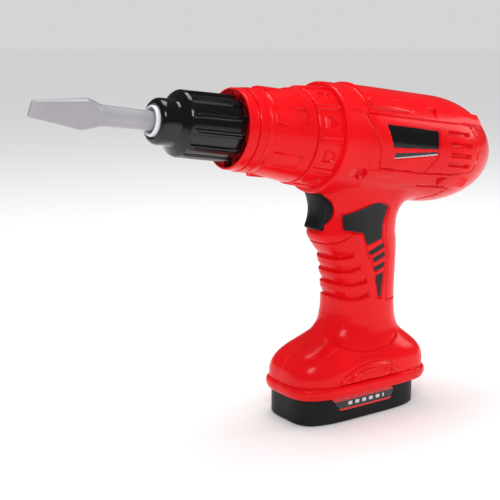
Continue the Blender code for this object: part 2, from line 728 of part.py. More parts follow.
def screwdriver_bit():
    """A flat blade that swells from its tip to a shoulder, then necks in to the round shank."""
    end = NOSE_U + BIT_REACH
    stations = ((BIT_TIP_U, 3.2, 0.7, 6.0), (BIT_TIP_U + 0.8, 3.5, 0.9, 6.0), (BIT_TIP_U + 12.0, 5.0, 1.6, 5.5),
                (BIT_TIP_U + 21.5, 6.4, 2.3, 5.0), (BIT_TIP_U + 24.0, 6.6, 2.6, 4.5), (BIT_TIP_U + 27.0, 5.7, 3.3, 3.0),
                (BIT_TIP_U + 30.0, 4.4, 4.2, 2.0), (NOSE_U - 1.0, SHANK_R, SHANK_R, 2.0),
                (NOSE_U + 1.0, SHANK_R, SHANK_R, 2.0), (end - 0.6, SHANK_R, SHANK_R, 2.0), (end, 3.4, 3.4, 2.0))
    rings = []
    c, s = math.cos(BIT_ROLL), math.sin(BIT_ROLL)
    for u, wide, thick, power in stations:
        a, b = rounded(wide, thick, power, 24)
        rings.append([(u, -p * s + q * c, p * c + q * s) for p, q in zip(a, b)])
    lofted("screwdriver_bit", rings, GREY_PLASTIC, BIT)


# ---------------------------------------------------------------- gears

def gear_outline(teeth, phase):
    """An involute gear outline whose first tooth points at the angle phase."""
    pitch = MODULE * teeth / 2.0
    base = pitch * math.cos(math.radians(20.0))
    tip = pitch + 0.8 * MODULE
    root = pitch - 1.15 * MODULE
    half_pitch = math.pi / (2.0 * teeth) * 0.84

    def half_angle(radius):
        if radius <= base:
            return half_pitch + math.tan(math.radians(20.0)) - math.radians(20.0)
        press = math.acos(base / radius)
        at_pitch = math.tan(math.radians(20.0)) - math.radians(20.0)
        return half_pitch + at_pitch - (math.tan(press) - press)

    radii = (root, (pitch + base) / 2.0, tip)
    points = []
    for i in range(teeth):
        middle = phase + 2.0 * math.pi * i / teeth
        flank = [(r, half_angle(r)) for r in radii]
        sides = [(r, -a) for r, a in flank] + [(r, a) for r, a in reversed(flank)]
        points += [(r * math.cos(middle + a), r * math.sin(middle + a)) for r, a in sides]
    return points


def gear(name, teeth, low, high, phase, bore, parent, look=None, tool=False):
    outlines = [gear_outline(teeth, phase)]
    if bore:
        outlines.append(circle(bore, 20))
    return plate(name, outlines, low, high, CROSSWAYS, look, parent, tool)


def idler_place():
    """The idler's centre, across and above the barrel's axis."""
    centre = MODULE * (PINION_TEETH + WHEEL_TEETH) / 2.0
    return centre * math.cos(IDLER_ANGLE), centre * math.sin(IDLER_ANGLE)


def gear_train():
    """Motor pinion, compound idler and output gear: a tooth of one faces a gap of the next."""
    towards = IDLER_ANGLE
    back = IDLER_ANGLE + math.pi
    half_step = math.pi / PINION_TEETH
    gear("output_gear", WHEEL_TEETH, OUTPUT_GEAR_U, OUTPUT_GEAR_U + WHEEL_WIDTH, towards, SPINDLE_R + RUN, CHUCK,
         NYLON_PLASTIC)
    idler = gear("idler_gear", PINION_TEETH, OUTPUT_GEAR_U - 0.4, IDLER_WHEEL_U + 0.5, back + half_step, 0.0, IDLER,
                 NYLON_PLASTIC)
    boolean(idler, gear("idler_wheel", WHEEL_TEETH, IDLER_WHEEL_U, IDLER_WHEEL_U + WHEEL_WIDTH - 1.0, back, 0.0,
                        IDLER, tool=True), "UNION")
    boolean(idler, rod("idler_bore", (0.0, 0.0, 0.0), (40.0, 0.0, 0.0), AXLE_R + RUN, parent=IDLER, tool=True))
    gear("motor_pinion", PINION_TEETH, IDLER_WHEEL_U - 0.4, IDLER_WHEEL_U + WHEEL_WIDTH - 0.6, towards + half_step,
         SHAFT_R + RUN, ROTOR, BRASS_METAL)


def gearbox_frame():
    """The two plates that carry the train, and the idler's axle."""
    place = idler_place()
    front_r = COLLAR_REAR_R - WALL - GAP
    rear_r = BODY_R - WALL - 0.9 - GAP
    guide_top = TRIGGER_TOP + SLOT_CLEAR + GUIDE_WALL + GAP
    rear_u = REAR_PLATE_U + PLATE_WALL
    below = (BARREL_Z - guide_top - rear_u * math.sin(NOSE_UP)) / math.cos(NOSE_UP)
    flat = min(rear_r - 1.0, below - GUIDE_CLEAR)
    for name, low, rim, hole in (
            ("gearbox_front_plate", FRONT_PLATE_U, circle(front_r, 28), SPINDLE_R + RUN),
            ("gearbox_rear_plate", REAR_PLATE_U, flat_bottomed(rear_r, flat), SHAFT_R + 1.0)):
        loops = [rim, circle(hole, 20), circle(AXLE_R + RUN, 12, place)]
        plate(name, loops, low, low + PLATE_WALL, CROSSWAYS, BLACK_SATIN, BARREL)
    start, end = FRONT_PLATE_U + 0.2, REAR_PLATE_U + PLATE_WALL - 0.2
    rod("idler_axle", (start, *place), (end, *place), AXLE_R, STEEL_METAL, BARREL, sides=12)


def flat_bottomed(radius, flat, count=24):
    """A circle with its bottom cut flat, to clear the trigger's guide."""
    reach = math.asin(flat / radius)
    turn = np.linspace(-reach, math.pi + reach, count)
    return [(radius * math.cos(t), radius * math.sin(t)) for t in turn]


def flatted(radius, flat, count=12):
    """A circle with its top and bottom cut flat, as one arc on each side."""
    reach = math.asin(flat / radius)
    turn = np.linspace(-reach, reach, count)
    right = [(radius * math.cos(t), radius * math.sin(t)) for t in turn]
    return right + [(-y, -z) for y, z in right]


def motor():
    """A small can motor: can with two flats, armature on its shaft, and end cap."""
    face = REAR_PLATE_U + PLATE_WALL + GAP
    end = face + MOTOR_LENGTH
    back = end + END_CAP
    can = plate("motor_can", [flatted(MOTOR_R, MOTOR_FLAT)], face, end, CROSSWAYS, STEEL_METAL, BARREL)
    inside = flatted(MOTOR_R - MOTOR_WALL, MOTOR_FLAT - MOTOR_WALL)
    boolean(can, plate("can_space", [inside], face + MOTOR_WALL, end + 5.0, CROSSWAYS, parent=BARREL, tool=True))
    boolean(can, rod("can_hole", (face - 5.0, 0.0, 0.0), (face + 5.0, 0.0, 0.0), SHAFT_R + 1.0, parent=BARREL,
                     tool=True))
    cap = [flatted(MOTOR_R, MOTOR_FLAT), circle(SHAFT_R + RUN, 12)]
    plate("motor_end_cap", cap, end + GAP, back, CROSSWAYS, NYLON_PLASTIC, BARREL)
    armature_r = MOTOR_FLAT - MOTOR_WALL - 0.8
    outline = [(IDLER_WHEEL_U - 0.8, 0.0), (IDLER_WHEEL_U - 0.8, SHAFT_R), (face + 3.5, SHAFT_R),
               (face + 3.5, armature_r), (end - 3.5, armature_r), (end - 3.5, SHAFT_R), (back - 0.5, SHAFT_R),
               (back - 0.5, 0.0)]
    turned("motor_rotor", outline, STEEL_METAL, ROTOR, steps=12)


# ---------------------------------------------------------------- trigger and switch

def trigger_outline():
    """Side view of the trigger: a dished finger face and a straight back."""
    t = np.linspace(0.0, 1.0, 9)
    z = TRIGGER_BOTTOM + 0.6 + (TRIGGER_TOP - TRIGGER_BOTTOM - 0.9) * t
    x = TRIGGER_FRONT + TRIGGER_DISH * np.sin(math.pi * t) ** 0.8 + 0.5 * t
    rear = SLOT_REAR + GAP + 0.5
    return [(TRIGGER_FRONT + 1.2, TRIGGER_BOTTOM), *zip(x, z), (TRIGGER_FRONT + 1.7, TRIGGER_TOP),
            (rear, TRIGGER_TOP), (rear, TRIGGER_BOTTOM)]


def trigger():
    """The trigger, with the flange that keeps it in and the pin that guides its spring."""
    rear = SLOT_REAR + 1.0 + GAP
    back = rear + FLANGE_WALL
    body = plate("trigger", [trigger_outline()], -TRIGGER_HALF, TRIGGER_HALF, SIDE_ON, BLACK_SATIN, TRIGGER)
    flange = box("trigger_flange", (SLOT_REAR + GAP, -FLANGE_HALF, TRIGGER_BOTTOM), (back, FLANGE_HALF, TRIGGER_TOP),
                 parent=TRIGGER, tool=True)
    pin = rod("trigger_pin", (rear, 0.0, SPRING_Z), (back + 3.4, 0.0, SPRING_Z), SPRING_R - SPRING_WIRE - 1.0,
              parent=TRIGGER, tool=True, sides=12)
    boolean(boolean(body, flange, "UNION"), pin, "UNION")
    start = back + GAP + SPRING_WIRE
    end = SWITCH_X - GAP - SPRING_WIRE
    tube("trigger_spring", spiral((start, 0.0, SPRING_Z), (end, 0.0, SPRING_Z), SPRING_R, SPRING_TURNS), SPRING_WIRE,
         STEEL_METAL, TRIGGER)


def switch():
    """The contact block behind the trigger and its two bent leaves."""
    box("switch_base", (SWITCH_X, -SWITCH_HALF, SWITCH_BOTTOM),
        (SWITCH_X + SWITCH_WALL, SWITCH_HALF, SWITCH_BOTTOM + SWITCH_HEIGHT), NYLON_PLASTIC)
    tip = SLOT_REAR + 1.0 + GAP + FLANGE_WALL + TRAVEL + GAP
    low = SWITCH_BOTTOM + 1.0
    leaf = [(SWITCH_X - GAP, low), (SWITCH_X - GAP, low + CONTACT_WALL), (tip + CONTACT_WALL, low + CONTACT_WALL),
            (tip + CONTACT_WALL, low + 9.0), (tip, low + 9.0), (tip, low)]
    for side, hand in ((-1, "left"), (1, "right")):
        inner, outer = sorted((side * 5.0, side * 8.2))
        plate(f"switch_leaf_{hand}", [leaf], inner, outer, SIDE_ON, BRASS_METAL)


# ---------------------------------------------------------------- battery base

def case_form(inset=0.0):
    """The battery case's outside, solid: rounded foot, neck that the foot's lip enters, and rim."""
    def ring(z, take):
        return level_ring((z, -CASE_HALF_X, CASE_HALF_X, CASE_HALF_Y, CASE_POWER), take + inset)

    neck_low, neck_high = FOOT_BOTTOM - GAP, LIP_TOP + GAP
    rings = [ring(inset, CASE_ROUND), ring(CASE_ROUND + inset, 0.0), ring(neck_low - inset, 0.0),
             ring(neck_low - inset, NECK_DEPTH), ring(neck_high + inset, NECK_DEPTH),
             ring(neck_high + inset, FLANGE_INSET), ring(CASE_TOP - inset, FLANGE_INSET)]
    return lofted("case_form", rings, tool=True)


def case_slab(name, low, high, inset, look=None, tool=False):
    """A slab with the case's outline, taken in by inset."""
    rings = [level_ring((z, -CASE_HALF_X, CASE_HALF_X, CASE_HALF_Y, CASE_POWER), inset) for z in (low, high)]
    return lofted(name, rings, look, tool=tool)


def tab_places():
    """Where the two rear contacts come up through the case's roof."""
    x = BAY_REAR - GAP - CONTACT_WALL / 2.0
    return [(x, -CELL_SPREAD), (x, CELL_SPREAD)]


def battery_case():
    """The case with its bay, door rebate, tab slots and screw hole."""
    case = finish("battery_case", case_form().data, BLACK_SATIN)
    boolean(case, box("cell_bay", (BAY_FRONT, -BAY_HALF, DOOR_WALL), (BAY_REAR, BAY_HALF, BAY_TOP), tool=True))
    boolean(case, case_slab("door_rebate", -1.0, DOOR_WALL + GAP, DOOR_INSET - GAP, tool=True))
    for i, (x, y) in enumerate(tab_places()):
        half = CONTACT_WALL / 2.0 + GAP
        boolean(case, box(f"tab_slot_{i}", (x - half, y - TAB_HALF - GAP, BAY_TOP - 1.0),
                          (x + half, y + TAB_HALF + GAP, CASE_TOP + 1.0), tool=True))
    boolean(case, rod("door_pilot", (DOOR_SCREW_X, 0.0, 1.0), (DOOR_SCREW_X, 0.0, DOOR_WALL + 8.0), SCREW_R + RUN,
                      tool=True))
    label = [(-20.5, 12.0), (14.5, 12.0), (16.8, 10.2), (14.6, 5.8), (-15.6, 5.8)]
    for side, hand in ((-1, "left"), (1, "right")):
        boolean(case, inlay(f"battery_label_{hand}", label, side, case_form, BLACK_GLOSS))


def battery_door():
    """The plate under the cells, and the screw that shuts it, with its head sunk in the plate."""
    seat = DOOR_WALL - 1.2
    door = case_slab("battery_door", 0.0, DOOR_WALL, DOOR_INSET, BLACK_SATIN)
    below, above = (DOOR_SCREW_X, 0.0, -1.0), (DOOR_SCREW_X, 0.0, DOOR_WALL + 1.0)
    boolean(door, rod("door_hole", below, above, SCREW_R + RUN, tool=True))
    boolean(door, rod("door_counterbore", below, (DOOR_SCREW_X, 0.0, seat), DOOR_SCREW_HEAD_R + GAP, tool=True))
    outline = [(-7.0, 0.0), (-7.0, SCREW_R * 0.6), (-5.5, SCREW_R), (0.1, SCREW_R), (0.1, DOOR_SCREW_HEAD_R),
               (0.5, DOOR_SCREW_HEAD_R), (0.7, DOOR_SCREW_HEAD_R - 0.6), (0.7, 0.0)]
    made = turned("door_screw", outline, STEEL_METAL, steps=10)
    made.rotation_euler = (0.0, math.pi / 2.0, 0.0)
    made.location = (DOOR_SCREW_X * MM, 0.0, seat * MM)


def cells():
    """Two AA cells head to tail, their contacts and springs."""
    cell_z = DOOR_WALL + GAP + 0.3 + CELL_R
    front_face = BAY_FRONT + GAP + CONTACT_WALL
    rear_face = BAY_REAR - GAP - CONTACT_WALL
    length = CELL_LENGTH + CELL_NUB
    outline = [(0.0, 0.0), (0.0, CELL_R - 0.5), (0.5, CELL_R), (CELL_LENGTH - 0.5, CELL_R),
               (CELL_LENGTH, CELL_R - 0.5), (CELL_LENGTH, 2.6), (length, 2.6), (length, 0.0)]
    for hand, y, start, way in (("left", -CELL_SPREAD, rear_face - GAP - length, 0.0),
                                ("right", CELL_SPREAD, front_face + GAP + length, math.pi)):
        cell = turned(f"cell_{hand}", outline, CELL_WRAP, steps=16)
        cell.rotation_euler = (0.0, 0.0, way)
        cell.location = Vector((start, y, cell_z)) * MM
    coil = GAP + SPRING_WIRE
    for hand, y, start, end in (("left", -CELL_SPREAD, front_face, rear_face - GAP - length),
                                ("right", CELL_SPREAD, front_face + GAP + length, rear_face)):
        points = spiral((start + coil, y, cell_z), (end - coil, y, cell_z), 3.4, 3)
        tube(f"cell_spring_{hand}", points, SPRING_WIRE, STEEL_METAL)
    low, high = cell_z - 5.0, cell_z + 5.0
    reach = CELL_SPREAD + 5.0
    box("contact_bridge", (BAY_FRONT + GAP, -reach, low), (front_face, reach, high), BRASS_METAL)
    for hand, (_, y) in zip(("left", "right"), tab_places()):
        tab = [(y - 5.0, low), (y + 5.0, low), (y + 5.0, high), (y + TAB_HALF, high), (y + TAB_HALF, TAB_TOP),
               (y - TAB_HALF, TAB_TOP), (y - TAB_HALF, high), (y - 5.0, high)]
        plate(f"contact_{hand}", [tab], rear_face, rear_face + CONTACT_WALL, CROSSWAYS, BRASS_METAL)


# ---------------------------------------------------------------- wires

def smooth_route(points, spacing):
    """Points at an even spacing along a curve that passes smoothly through the given ones."""
    knots = np.array([points[0], *points, points[-1]], dtype=float)
    fine = []
    for a, b, c, d in zip(knots, knots[1:], knots[2:], knots[3:]):
        t = np.linspace(0.0, 1.0, 24, endpoint=False)[:, None]
        fine.append(0.5 * (2.0 * b + (c - a) * t + (2.0 * a - 5.0 * b + 4.0 * c - d) * t ** 2
                           + (3.0 * b - a - 3.0 * c + d) * t ** 3))
    path = np.vstack(fine + [knots[-1:]])
    along = np.concatenate(([0.0], np.cumsum(np.linalg.norm(np.diff(path, axis=0), axis=1))))
    at = np.linspace(0.0, along[-1], int(along[-1] / spacing) + 2)
    return np.stack([np.interp(at, along, path[:, i]) for i in range(3)], axis=1)


def wires():
    """Battery to switch, battery to motor and switch to motor, up through the handle."""
    tabs = tab_places()
    lift = TAB_TOP + GAP
    block = SWITCH_X + SWITCH_WALL + GAP
    cap = REAR_PLATE_U + PLATE_WALL + GAP + MOTOR_LENGTH + END_CAP + GAP
    routes = {
        "wire_battery_switch": [
            (tabs[0][0], tabs[0][1], lift), (tabs[0][0], tabs[0][1], lift + 1.5), (23.5, -7.2, 29.0),
            (18.5, -6.5, 40.0), (17.5, -6.0, 60.0), (17.0, -6.0, 78.0), (17.5, -6.0, 89.0),
            (block + 2.5, -6.0, 94.0), (block, -6.0, 94.0)],
        "wire_battery_motor": [
            (tabs[1][0], tabs[1][1], lift), (tabs[1][0], tabs[1][1], lift + 1.5), (23.5, 7.2, 29.0),
            (19.5, 6.5, 40.0), (19.0, 6.0, 60.0), (19.5, 6.0, 80.0), (21.5, 6.0, 97.0), (26.0, 5.5, 109.0),
            barrel_point(cap + 7.0, -8.0, 5.0), barrel_point(cap + 2.0, -4.0, 5.0), barrel_point(cap, -4.0, 5.0)],
        "wire_switch_motor": [
            (block, 0.0, 98.0), (block + 2.0, 0.0, 98.0), (20.0, -1.5, 104.0), (24.0, -4.0, 111.0),
            barrel_point(cap + 6.0, -7.0, -5.0), barrel_point(cap + 2.0, -4.0, -5.0), barrel_point(cap, -4.0, -5.0)],
    }
    for name, route in routes.items():
        tube(name, smooth_route(route, 4.5), WIRE_R, WIRE_SKIN)


# ---------------------------------------------------------------- assembly

clear_scene()
PARTS = collection("toy_power_drill")
CUTTERS = collection("cutters")
RED_PLASTIC = material("red_plastic", RED, 0.28)
BLACK_GLOSS = material("black_gloss", BLACK, 0.2)
BLACK_SATIN = material("black_satin", SATIN_BLACK, 0.42)
GREY_PLASTIC = material("grey_plastic", GREY, 0.42)
LIGHT_PLASTIC = material("light_plastic", LIGHT, 0.35)
NYLON_PLASTIC = material("nylon", NYLON, 0.45)
STEEL_METAL = material("steel", STEEL, 0.3, 1.0)
BRASS_METAL = material("brass", BRASS, 0.3, 1.0)
CELL_WRAP = material("cell_wrap", (0.05, 0.09, 0.16), 0.3)
WIRE_SKIN = material("wire_skin", (0.5, 0.02, 0.02), 0.5)

AXIS_START = (BARREL_X, 0.0, BARREL_Z)
BARREL = empty("barrel_frame", AXIS_START, NOSE_UP)
CHUCK = empty("chuck_frame", AXIS_START, NOSE_UP)
BIT = empty("bit_frame", AXIS_START, NOSE_UP)
ROTOR = empty("rotor_frame", AXIS_START, NOSE_UP)
IDLER = empty("idler_frame", barrel_point(0.0, idler_place()[1], idler_place()[0]), NOSE_UP)
TRIGGER = empty("trigger_frame", (0.0, 0.0, 0.0))

housing_halves()
housing_screws()
chuck()
screwdriver_bit()
gear_train()
gearbox_frame()
motor()
trigger()
switch()
battery_case()
battery_door()
cells()
wires()
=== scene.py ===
"""The looks of the toy power drill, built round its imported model.

Every surface is worked out in millimetres from a few sizes and two frames: the world's, and the barrel's, in
which u runs rearwards along the chuck's axis, w is square to it in the middle plane and y is across. Heights
and depths in the reliefs are in millimetres too, and so is the width over which each of them fades.
"""
import json
import math

import bmesh
import bpy
import numpy as np
from bpy.props import FloatProperty, FloatVectorProperty, IntProperty, PointerProperty
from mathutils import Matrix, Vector


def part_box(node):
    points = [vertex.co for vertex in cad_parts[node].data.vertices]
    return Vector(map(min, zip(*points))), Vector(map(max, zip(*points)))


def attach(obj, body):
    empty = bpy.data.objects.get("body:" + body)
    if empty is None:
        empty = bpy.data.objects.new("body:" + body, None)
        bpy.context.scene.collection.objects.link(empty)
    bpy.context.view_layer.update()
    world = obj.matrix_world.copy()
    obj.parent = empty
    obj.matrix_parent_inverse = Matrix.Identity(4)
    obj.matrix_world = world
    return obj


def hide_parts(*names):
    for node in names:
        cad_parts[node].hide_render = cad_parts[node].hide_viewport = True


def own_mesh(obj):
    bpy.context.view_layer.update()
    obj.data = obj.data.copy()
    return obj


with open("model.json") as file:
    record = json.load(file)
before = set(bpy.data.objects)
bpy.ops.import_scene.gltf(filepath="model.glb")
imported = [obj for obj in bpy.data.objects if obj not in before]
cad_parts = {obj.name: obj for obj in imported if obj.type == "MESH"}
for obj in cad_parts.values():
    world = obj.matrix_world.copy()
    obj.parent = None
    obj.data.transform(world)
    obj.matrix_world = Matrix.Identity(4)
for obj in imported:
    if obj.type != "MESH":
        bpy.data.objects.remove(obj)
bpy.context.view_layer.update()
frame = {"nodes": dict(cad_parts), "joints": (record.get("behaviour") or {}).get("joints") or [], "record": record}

bl_info = {
    "name": "Toy Drill Looks",
    "version": (1, 0, 0),
    "blender": (4, 5, 0),
    "location": "View3D > Sidebar > Toy Drill",
    "description": "Builds the shells, trim and finishes of a toy power drill round its packed model",
    "category": "Object",
}

MM = 0.001
SPIN = next(joint for joint in frame["joints"] if joint["name"] == "chuck_spin")
AXIS = np.array(SPIN["axis"], float) / np.linalg.norm(SPIN["axis"])
LIFT = np.array((-AXIS[2], 0.0, AXIS[0]))
START = np.array(SPIN["pos_m"], float) / MM
SIDES = {"left": -1.0, "right": 1.0}
MERGE = 2e-6                        # metres within which points are one
SHARP, SHARP_PLATE = 32.0, 40.0     # degrees past which an edge is shaded sharp
INNER_COLUMNS = 40                  # columns of a shell's unseen inner skin
FINISHES = {}                       # filled when the first finish is asked for


def node_box(node):
    """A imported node's lowest and highest corners, in millimetres."""
    low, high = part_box(node)
    return np.array(low) / MM, np.array(high) / MM


# ------------------------------------------------------------------ settings

class DrillShellSettings(bpy.types.PropertyGroup):
    """Sizes of the two red housing halves, in millimetres."""
    wall: FloatProperty(name="Wall", description="Thickness of the moulded wall", default=2.0, min=1.0)
    seam: FloatProperty(name="Seam", description="Half the gap between the halves", default=0.02, min=0.0)
    groove: FloatProperty(name="Panel groove", description="Depth of the line round the side panel",
                                    default=0.85, min=0.1)
    rows: IntProperty(name="Rows", description="Rows of faces along the barrel", default=280, min=40)
    columns: IntProperty(name="Columns", description="Columns of faces over half the barrel",
                                   default=210, min=60)


class DrillColourSettings(bpy.types.PropertyGroup):
    """Colours of the plastics."""
    red: FloatVectorProperty(name="Red", description="Housing colour", subtype="COLOR", size=3,
                                       default=(0.80, 0.004, 0.008), min=0.0, max=1.0)
    black: FloatVectorProperty(name="Black", description="Chuck, trigger and battery case", subtype="COLOR",
                                         size=3, default=(0.008, 0.008, 0.009), min=0.0, max=1.0)
    grey: FloatVectorProperty(name="Grey", description="Screwdriver bit", subtype="COLOR", size=3,
                                        default=(0.37, 0.355, 0.385), min=0.0, max=1.0)


class DrillStageSettings(bpy.types.PropertyGroup):
    """Where the camera stands."""
    azimuth: FloatProperty(name="Azimuth", description="Turn of the view round the drill",
                                     subtype="ANGLE", default=math.radians(-34.11))
    elevation: FloatProperty(name="Elevation", description="Height of the view above level",
                                       subtype="ANGLE", default=math.radians(11.82))
    distance: FloatProperty(name="Distance", description="Camera to the point it looks at", unit="LENGTH",
                                      default=0.4395)
    lens: FloatProperty(name="Lens", description="Focal length", unit="CAMERA", default=72.0)
    surround: FloatProperty(name="Surround", description="Brightness of the white surround", default=0.66)
    reflected: FloatProperty(name="Reflected", description="Share of the surround that gloss reflects",
                                       subtype="FACTOR", default=0.12)


def shell_sizes():
    """The housing sizes held by the scene."""
    return bpy.context.scene.drill_shell


def colours():
    """The colours held by the scene."""
    return bpy.context.scene.drill_colours


# ------------------------------------------------------------------ numbers and surfaces

def ease(x):
    """Smooth step: 0 below 0, 1 above 1, and three x squared less two x cubed between."""
    x = np.clip(x, 0.0, 1.0)
    return x * x * (3.0 - 2.0 * x)


def within(distance, soft=0.5):
    """1 inside an outline and 0 outside, from a signed distance, over a soft edge."""
    return 1.0 - ease(distance / soft + 0.5)


def line(distance, half):
    """1 on a line and 0 further than half from it."""
    return 1.0 - ease(np.abs(distance) / half)


def to_segments(points, a, b, closed=True):
    """Least distance from each (a, b) to the segments of an outline."""
    points = [np.array(p, float) for p in points]
    ends = points[1:] + ([points[0]] if closed else [])
    best = np.full(np.shape(a), 1e9)
    for p, q in zip(points, ends):
        run = q - p
        t = np.clip(((a - p[0]) * run[0] + (b - p[1]) * run[1]) / (run @ run), 0.0, 1.0)
        best = np.minimum(best, np.hypot(a - p[0] - t * run[0], b - p[1] - t * run[1]))
    return best


def signed(points, a, b):
    """Signed distance to a closed outline: negative where a level ray crosses an odd number of its edges."""
    inside = np.zeros(np.shape(a), bool)
    for (x0, y0), (x1, y1) in zip(points, list(points[1:]) + [points[0]]):
        if y0 != y1:
            crosses = ((y0 > b) != (y1 > b)) & (a < (x1 - x0) * (b - y0) / (y1 - y0) + x0)
            inside ^= crosses
    away = to_segments(points, a, b)
    return np.where(inside, -away, away)


def capsule(a, b, start, end, height, radius):
    """Signed distance to a level slot with round ends."""
    return np.hypot(a - np.clip(a, start, end), b - height) - radius


def hermite(at, knots, values):
    """Smooth curve through the values: cubic pieces that share the values' mean slope at each knot."""
    knots, values = np.array(knots, float), np.array(values, float)
    slope = np.gradient(values, knots)
    i = np.clip(np.searchsorted(knots, at) - 1, 0, len(knots) - 2)
    span = knots[i + 1] - knots[i]
    t = (at - knots[i]) / span
    return ((1 + 2 * t) * (1 - t) ** 2 * values[i] + t * (1 - t) ** 2 * span * slope[i]
            + t * t * (3 - 2 * t) * values[i + 1] + t * t * (t - 1) * span * slope[i + 1])


def barrel_to_world(u, y, w):
    """World millimetres of barrel coordinates, as an array with a last axis of three."""
    return START + u[..., None] * AXIS + w[..., None] * LIFT + y[..., None] * np.array((0.0, 1.0, 0.0))


def grid_faces(rows, columns, first=0, wrap=False):
    """Quads between the points of a grid, row by row; wrap joins the last column to the first."""
    i, j = np.meshgrid(np.arange(rows - 1), np.arange(columns if wrap else columns - 1), indexing="ij")
    k = (j + 1) % columns
    here, next_row = i * columns, (i + 1) * columns
    return np.stack((here + j, here + k, next_row + k, next_row + j), axis=-1).reshape(-1, 4) + first



def mesh_of(name, points, faces, sharp=SHARP):
    """A mesh from millimetre points and quads, doubles merged, faces outwards and smooth."""
    mesh = bpy.data.meshes.new(name)
    mesh.from_pydata((np.asarray(points).reshape(-1, 3) * MM).tolist(), [], list(faces))
    shape = bmesh.new()
    shape.from_mesh(mesh)
    bmesh.ops.remove_doubles(shape, verts=shape.verts, dist=MERGE)
    bmesh.ops.dissolve_degenerate(shape, edges=shape.edges, dist=MERGE / 2.0)
    bmesh.ops.recalc_face_normals(shape, faces=shape.faces)
    shape.to_mesh(mesh)
    shape.free()
    mesh.shade_smooth()
    mesh.set_sharp_from_angle(angle=math.radians(sharp))
    return mesh


def piece(name, mesh, look, body, slot, *nodes):
    """An object for a finished mesh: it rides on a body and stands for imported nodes."""
    thing = bpy.data.objects.new(name, mesh)
    bpy.context.scene.collection.objects.link(thing)
    mesh.materials.clear()
    mesh.materials.append(look)
    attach(thing, body)
    if nodes:
        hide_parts(*nodes)
    return thing


def half_shell(name, outer, inner):
    """A closed half shell: an outer grid, a coarser inner one, strips along the seams, a face at each rim."""
    rows, columns = outer.shape[:2]
    inner = inner[:, np.linspace(0, columns - 1, INNER_COLUMNS).astype(int)]
    count = rows * columns
    faces = grid_faces(rows, columns).tolist() + grid_faces(rows, INNER_COLUMNS, count).tolist()
    for a, b in ((0, 0), (columns - 1, INNER_COLUMNS - 1)):
        a, b = np.arange(rows - 1) * columns + a, np.arange(rows - 1) * INNER_COLUMNS + b + count
        faces += np.stack((a, a + columns, b + INNER_COLUMNS, b), axis=-1).tolist()
    for row in (0, rows - 1):
        over = row * columns + np.arange(columns)
        under = row * INNER_COLUMNS + np.arange(INNER_COLUMNS)[::-1] + count
        faces.append(over.tolist() + under.tolist())
    return mesh_of(name, np.concatenate((outer.reshape(-1, 3), inner.reshape(-1, 3))), faces)


def turns(count):
    """Evenly spaced angles of a whole turn."""
    return np.arange(count) * 2.0 * math.pi / count


def columns_of(values, count):
    """A column of values repeated over a grid's columns."""
    return np.repeat(values[:, None], count, axis=1)


def squarer(part, power):
    """A sine or cosine made squarer: its sign times its size raised to two over the power."""
    return np.sign(part) * np.abs(part) ** (2.0 / power)


def oval_half(x, middle, reach, half, power):
    """Half width of a superellipse at x: half times the root, by power, of 1 less the reach's share to it."""
    share = np.minimum(np.abs(x - middle) / reach, 0.98)
    return half * (1.0 - share ** power) ** (1.0 / power)


def capped(rings):
    """The rings with their first and last ring's mean point added as a ring at each end."""
    ends = [np.repeat(rings[k].mean(axis=0)[None], rings.shape[1], axis=0)[None] for k in (0, -1)]
    return np.concatenate((ends[0], rings, ends[1]))


def closed_skin(name, rings, sharp=SHARP):
    """A skin over a stack of closed rings whose first and last are single points or the same loop."""
    rows, columns = rings.shape[:2]
    return mesh_of(name, rings, grid_faces(rows, columns, wrap=True).tolist(), sharp)


def turned(name, profile, relief=None, columns=96, sharp=SHARP):
    """Carry a profile of (u, r) points round the barrel's axis; relief adds to the radius from u and angle.

    A point at u and radius r stands minus r times the cosine across and r times the sine up. The profile
    is a loop, with its first point repeated at the end.
    """
    profile = np.array(profile, float)
    u, r = columns_of(profile[:, 0], columns), columns_of(profile[:, 1], columns)
    angle = np.repeat(turns(columns)[None, :], len(profile), axis=0)
    if relief is not None:
        r = r + relief(u, r, angle)
    return closed_skin(name, barrel_to_world(u, -r * np.cos(angle), r * np.sin(angle)), sharp)


def refine(profile, step):
    """Add points between those of a profile so that none are further apart than step."""
    fine = []
    for p, q in zip(profile, profile[1:]):
        count = max(1, int(math.dist(p, q) / step))
        fine += [tuple(np.array(p) + (np.array(q) - p) * k / count) for k in range(count)]
    return fine + [profile[-1]]


# ------------------------------------------------------------------ barrel surface

COLLAR = (
    (-32.5, 16.35), (-32.75, 16.6), (-32.8, 16.9), (-32.5, 17.3), (-32.1, 17.45), (-28.75, 17.65),
    (-28.5, 17.55), (-28.4, 17.1), (-27.9, 17.1), (-27.8, 17.7), (-27.5, 17.95), (-24.9, 18.2),
    (-24.6, 17.75), (-24.1, 17.75), (-23.8, 18.15), (-22.6, 18.15), (-21.6, 17.95), (-20.6, 18.1),
    (-19.8, 18.4), (-0.75, 20.85), (-0.45, 20.7), (-0.3, 20.35), (0.3, 20.35), (0.45, 20.95), (0.75, 21.2),
    (12.5, 22.3), (12.75, 22.4), (12.8, 24.0), (13.0, 24.7), (13.5, 25.05), (14.2, 25.12), (26.0, 25.35),
    (29.0, 25.7), (40.0, 25.8), (78.5, 25.8))
DOME_U, DOME_LENGTH, DOME_R, DOME_POWER = 78.5, 40.9, 25.8, 2.2
DOME_LEAN = 0.42                    # how much straighter the rear closes underneath than on top
DOME_DROP = 2.4                     # how far the rear tip sits below the axis

